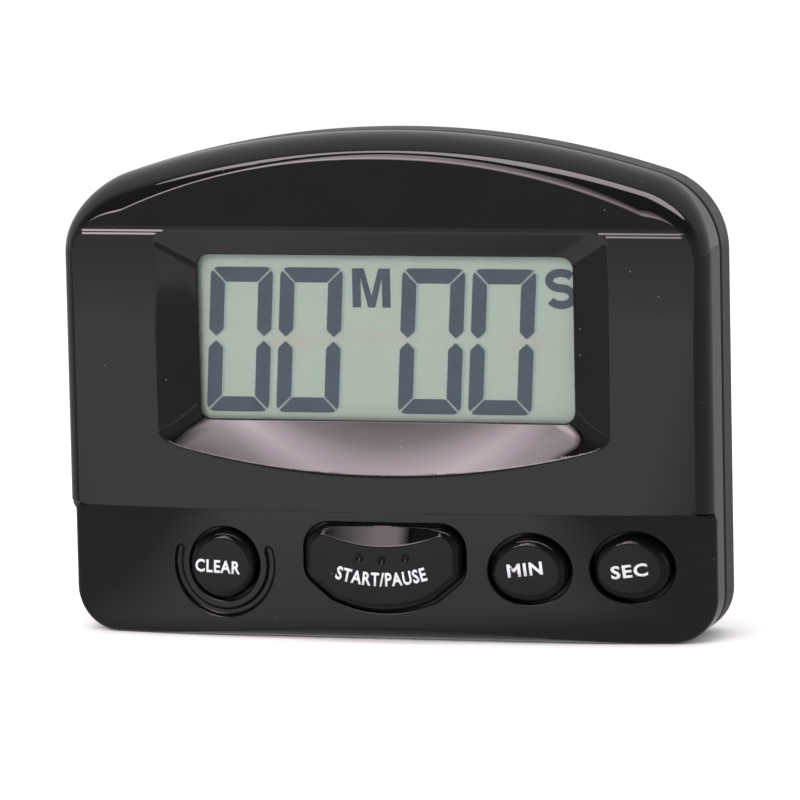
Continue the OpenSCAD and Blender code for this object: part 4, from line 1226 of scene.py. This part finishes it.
finishes = {
    "lens_window": makeClear(),
    "display_front_glass": makeDisplayGround(),
    # Float glass with its dark edge, over the cell.
    "display_rear_glass": makeFinish("floatGlass", ("#8b968c", "#939e93"), (0.1, 0.15), 6, 0),
    # Metallised film: soft silver with a brushed grain.
    "display_reflector": makeFinish("metallisedFilm", ("#c3c6c4", "#d3d5d3"),
                                    (0.35, 0.45), 1.5, 0.002, 1.0, (1, 1, 6)),
    # Zebra connector: pink silicone with a dark conducting core, seen as fine bars.
    "zebra_strip": makeFinish("pinkSilicone", ("#5a3c40", "#b98289"), (0.55, 0.65), 0.3, 0.004, 0, (6, 1, 1)),
    # Solder-masked laminate: green lacquer with a faint weave.
    "circuit_board": makeFinish("solderMaskedLaminate", ("#1d5a35", "#26693f"), (0.25, 0.4), 0.6, 0.008),
    # Glob-top epoxy: black, smooth, a little sunken sheen.
    "chip_blob": makeFinish("globTopEpoxy", ("#0c0c0d", "#131313"), (0.2, 0.35), 1.2, 0.01),
    # Drawn steel can of the crystal: bright with lengthwise lines.
    "timing_crystal": makeFinish("drawnSteel", ("#b9bbbd", "#cfd1d2"),
                                 (0.2, 0.3), 0.4, 0.002, 1.0, (1, 5, 5)),
    # Ceramic chip: tan body, tinned ends.
    "chip_capacitors": makeFinish("capacitorCeramic", ("#9a7550", "#b08a60"), (0.35, 0.5), 0.5, 0.004),
    "chip_resistors": makeFinish("resistorBlack", ("#101011", "#1a1a1b"), (0.3, 0.45), 0.4, 0.004),
    # Enamelled copper wire, wound: orange brown bands.
    "tuning_coil": makeFinish("enamelledCopper", ("#7a3d1c", "#b0602f"),
                              (0.25, 0.4), 0.25, 0.02, 1.0, (0.3, 3, 0.3)),
    # Moulded silicone: translucent grey, soft sheen.
    "keypad_mat": makeFinish("greySilicone", ("#a4a8ab", "#b4b8ba"), (0.5, 0.62), 1.0, 0.01),
    # Carbon-filled rubber: dead matt black.
    "carbon": makeFinish("carbonRubber", ("#151515", "#202020"), (0.75, 0.9), 0.4, 0.01),
    # Rolled brass: yellow, fine rolling lines.
    "buzzer_disc": makeFinish("rolledBrass", ("#b18a45", "#c8a258"),
                              (0.22, 0.35), 0.6, 0.002, 1.0, (6, 1, 1)),
    "buzzer_ceramic": makeFinish("silveredCeramic", ("#c9c8c2", "#dad9d3"), (0.4, 0.55), 0.8, 0.004),
    # Nickel-plated spring steel.
    "springSteel": makeFinish("springSteel", ("#b4b6b8", "#cdcfd0"), (0.18, 0.3), 0.5, 0.002, 1.0),
    # Nickel-plated can of the cell, with a light pressing grain.
    "battery_cell": makeFinish("cellNickel", ("#bfc1c2", "#d4d6d6"), (0.2, 0.32), 0.9, 0.002, 1.0),
    # Sintered ferrite: charcoal, faintly grainy, dull sheen.
    "back_magnet": makeFinish("sinteredFerrite", ("#26272a", "#34363a"), (0.42, 0.6), 0.3, 0.012),
    # Zinc-plated screws: pale, slightly blue, worn bright on the edges.
    "screws": makeFinish("zincPlate", ("#9fa4a8", "#bcc0c3"), (0.25, 0.4), 0.5, 0.003, 1.0),
}
sameFinish = {
    "clear_contact_pill": "carbon", "start_contact_pill": "carbon", "minute_contact_pill": "carbon",
    "second_contact_pill": "carbon", "buzzer_springs": "springSteel", "battery_clip": "springSteel",
    "battery_spring": "springSteel", "stand_hinge_pin": "springSteel", "case_screws": "screws",
    "board_screws": "screws",
}


def finishNodes():
    for name, node in nodes.items():
        finish = finishes.get(sameFinish.get(name, name))
        if not node.hide_render and finish:
            for slot in node.material_slots:
                slot.material = finish
    for name in ("battery_cover", "stand_leg"):
        for slot in nodes[name].material_slots:
            slot.material = satinBlack


# Moulded and turned pieces keep their CAD shape, with their edges broken.
softened = {
    "battery_cover": (0.18, "battery_door", "satin_black_abs", "cover_disc"),
    "stand_leg": (0.25, "stand", "satin_black_abs", "stand_wing"),
    "back_magnet": (0.2, "case", "black_ferrite", "magnet_disc"),
    "case_screws": (0.06, "case", "screw_steel", "case_screw_set"),
}


def softenNode(node, width, body, slot, name):
    work = bmesh.new()
    work.from_mesh(nodes[node].data)
    work.transform(nodes[node].matrix_world)
    bmesh.ops.remove_doubles(work, verts=work.verts, dist=1e-7)
    bmesh.ops.dissolve_limit(work, angle_limit=math.radians(0.5), verts=work.verts, edges=work.edges)
    sharp = [e for e in work.edges if len(e.link_faces) == 2 and e.calc_face_angle() > math.radians(35)]
    bmesh.ops.bevel(work, geom=sharp, offset=width * mm, offset_type="OFFSET", segments=2, profile=0.5,
                    affect="EDGES", clamp_overlap=True)
    bmesh.ops.triangulate(work, faces=[f for f in work.faces if len(f.verts) > 4])
    bmesh.ops.recalc_face_normals(work, faces=work.faces)
    for face in work.faces:
        face.smooth = True
    for edge in work.edges:
        edge.smooth = len(edge.link_faces) == 2 and edge.calc_face_angle() < math.radians(32)
    mesh = bpy.data.meshes.new(name)
    work.to_mesh(mesh)
    work.free()
    mesh.materials.append(nodes[node].material_slots[0].material)
    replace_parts(makePiece(name, mesh, body), node)
    print(name, len(mesh.polygons), "faces")


# Grip ribs across the foot of the stand's recessed face.
gripRibs = {
    "halfLength": 9.0, "halfWidth": 0.4, "lowest": 11.6, "step": 1.7, "count": 5, "top": 17.36, "root": 16.9,
    "crest": 0.7,
}


def makeGripRibs():
    half, wide = gripRibs["halfLength"], gripRibs["halfWidth"]
    outline = rectLoop(-half, half, -wide, wide, wide * 0.99, 0, 20).tolist()
    rise = gripRibs["top"] - gripRibs["root"]
    points, faces = platePieces([outline], 0, rise)
    points[len(outline):] = [(x * 0.99, y, z * gripRibs["crest"]) for x, y, z in points[len(outline):]]
    template = placeObject("grip_template", meshFrom("grip_template", points, faces))
    heights = [gripRibs["lowest"] + i * gripRibs["step"] for i in range(gripRibs["count"])]
    places = [(0, gripRibs["root"], z) for z in heights]
    copiesAt("stand_grip_ribs", places, template, satinBlack, "stand")


finishNodes()
for node, look in softened.items():
    softenNode(node, *look)
makeGripRibs()
print("finishes set")
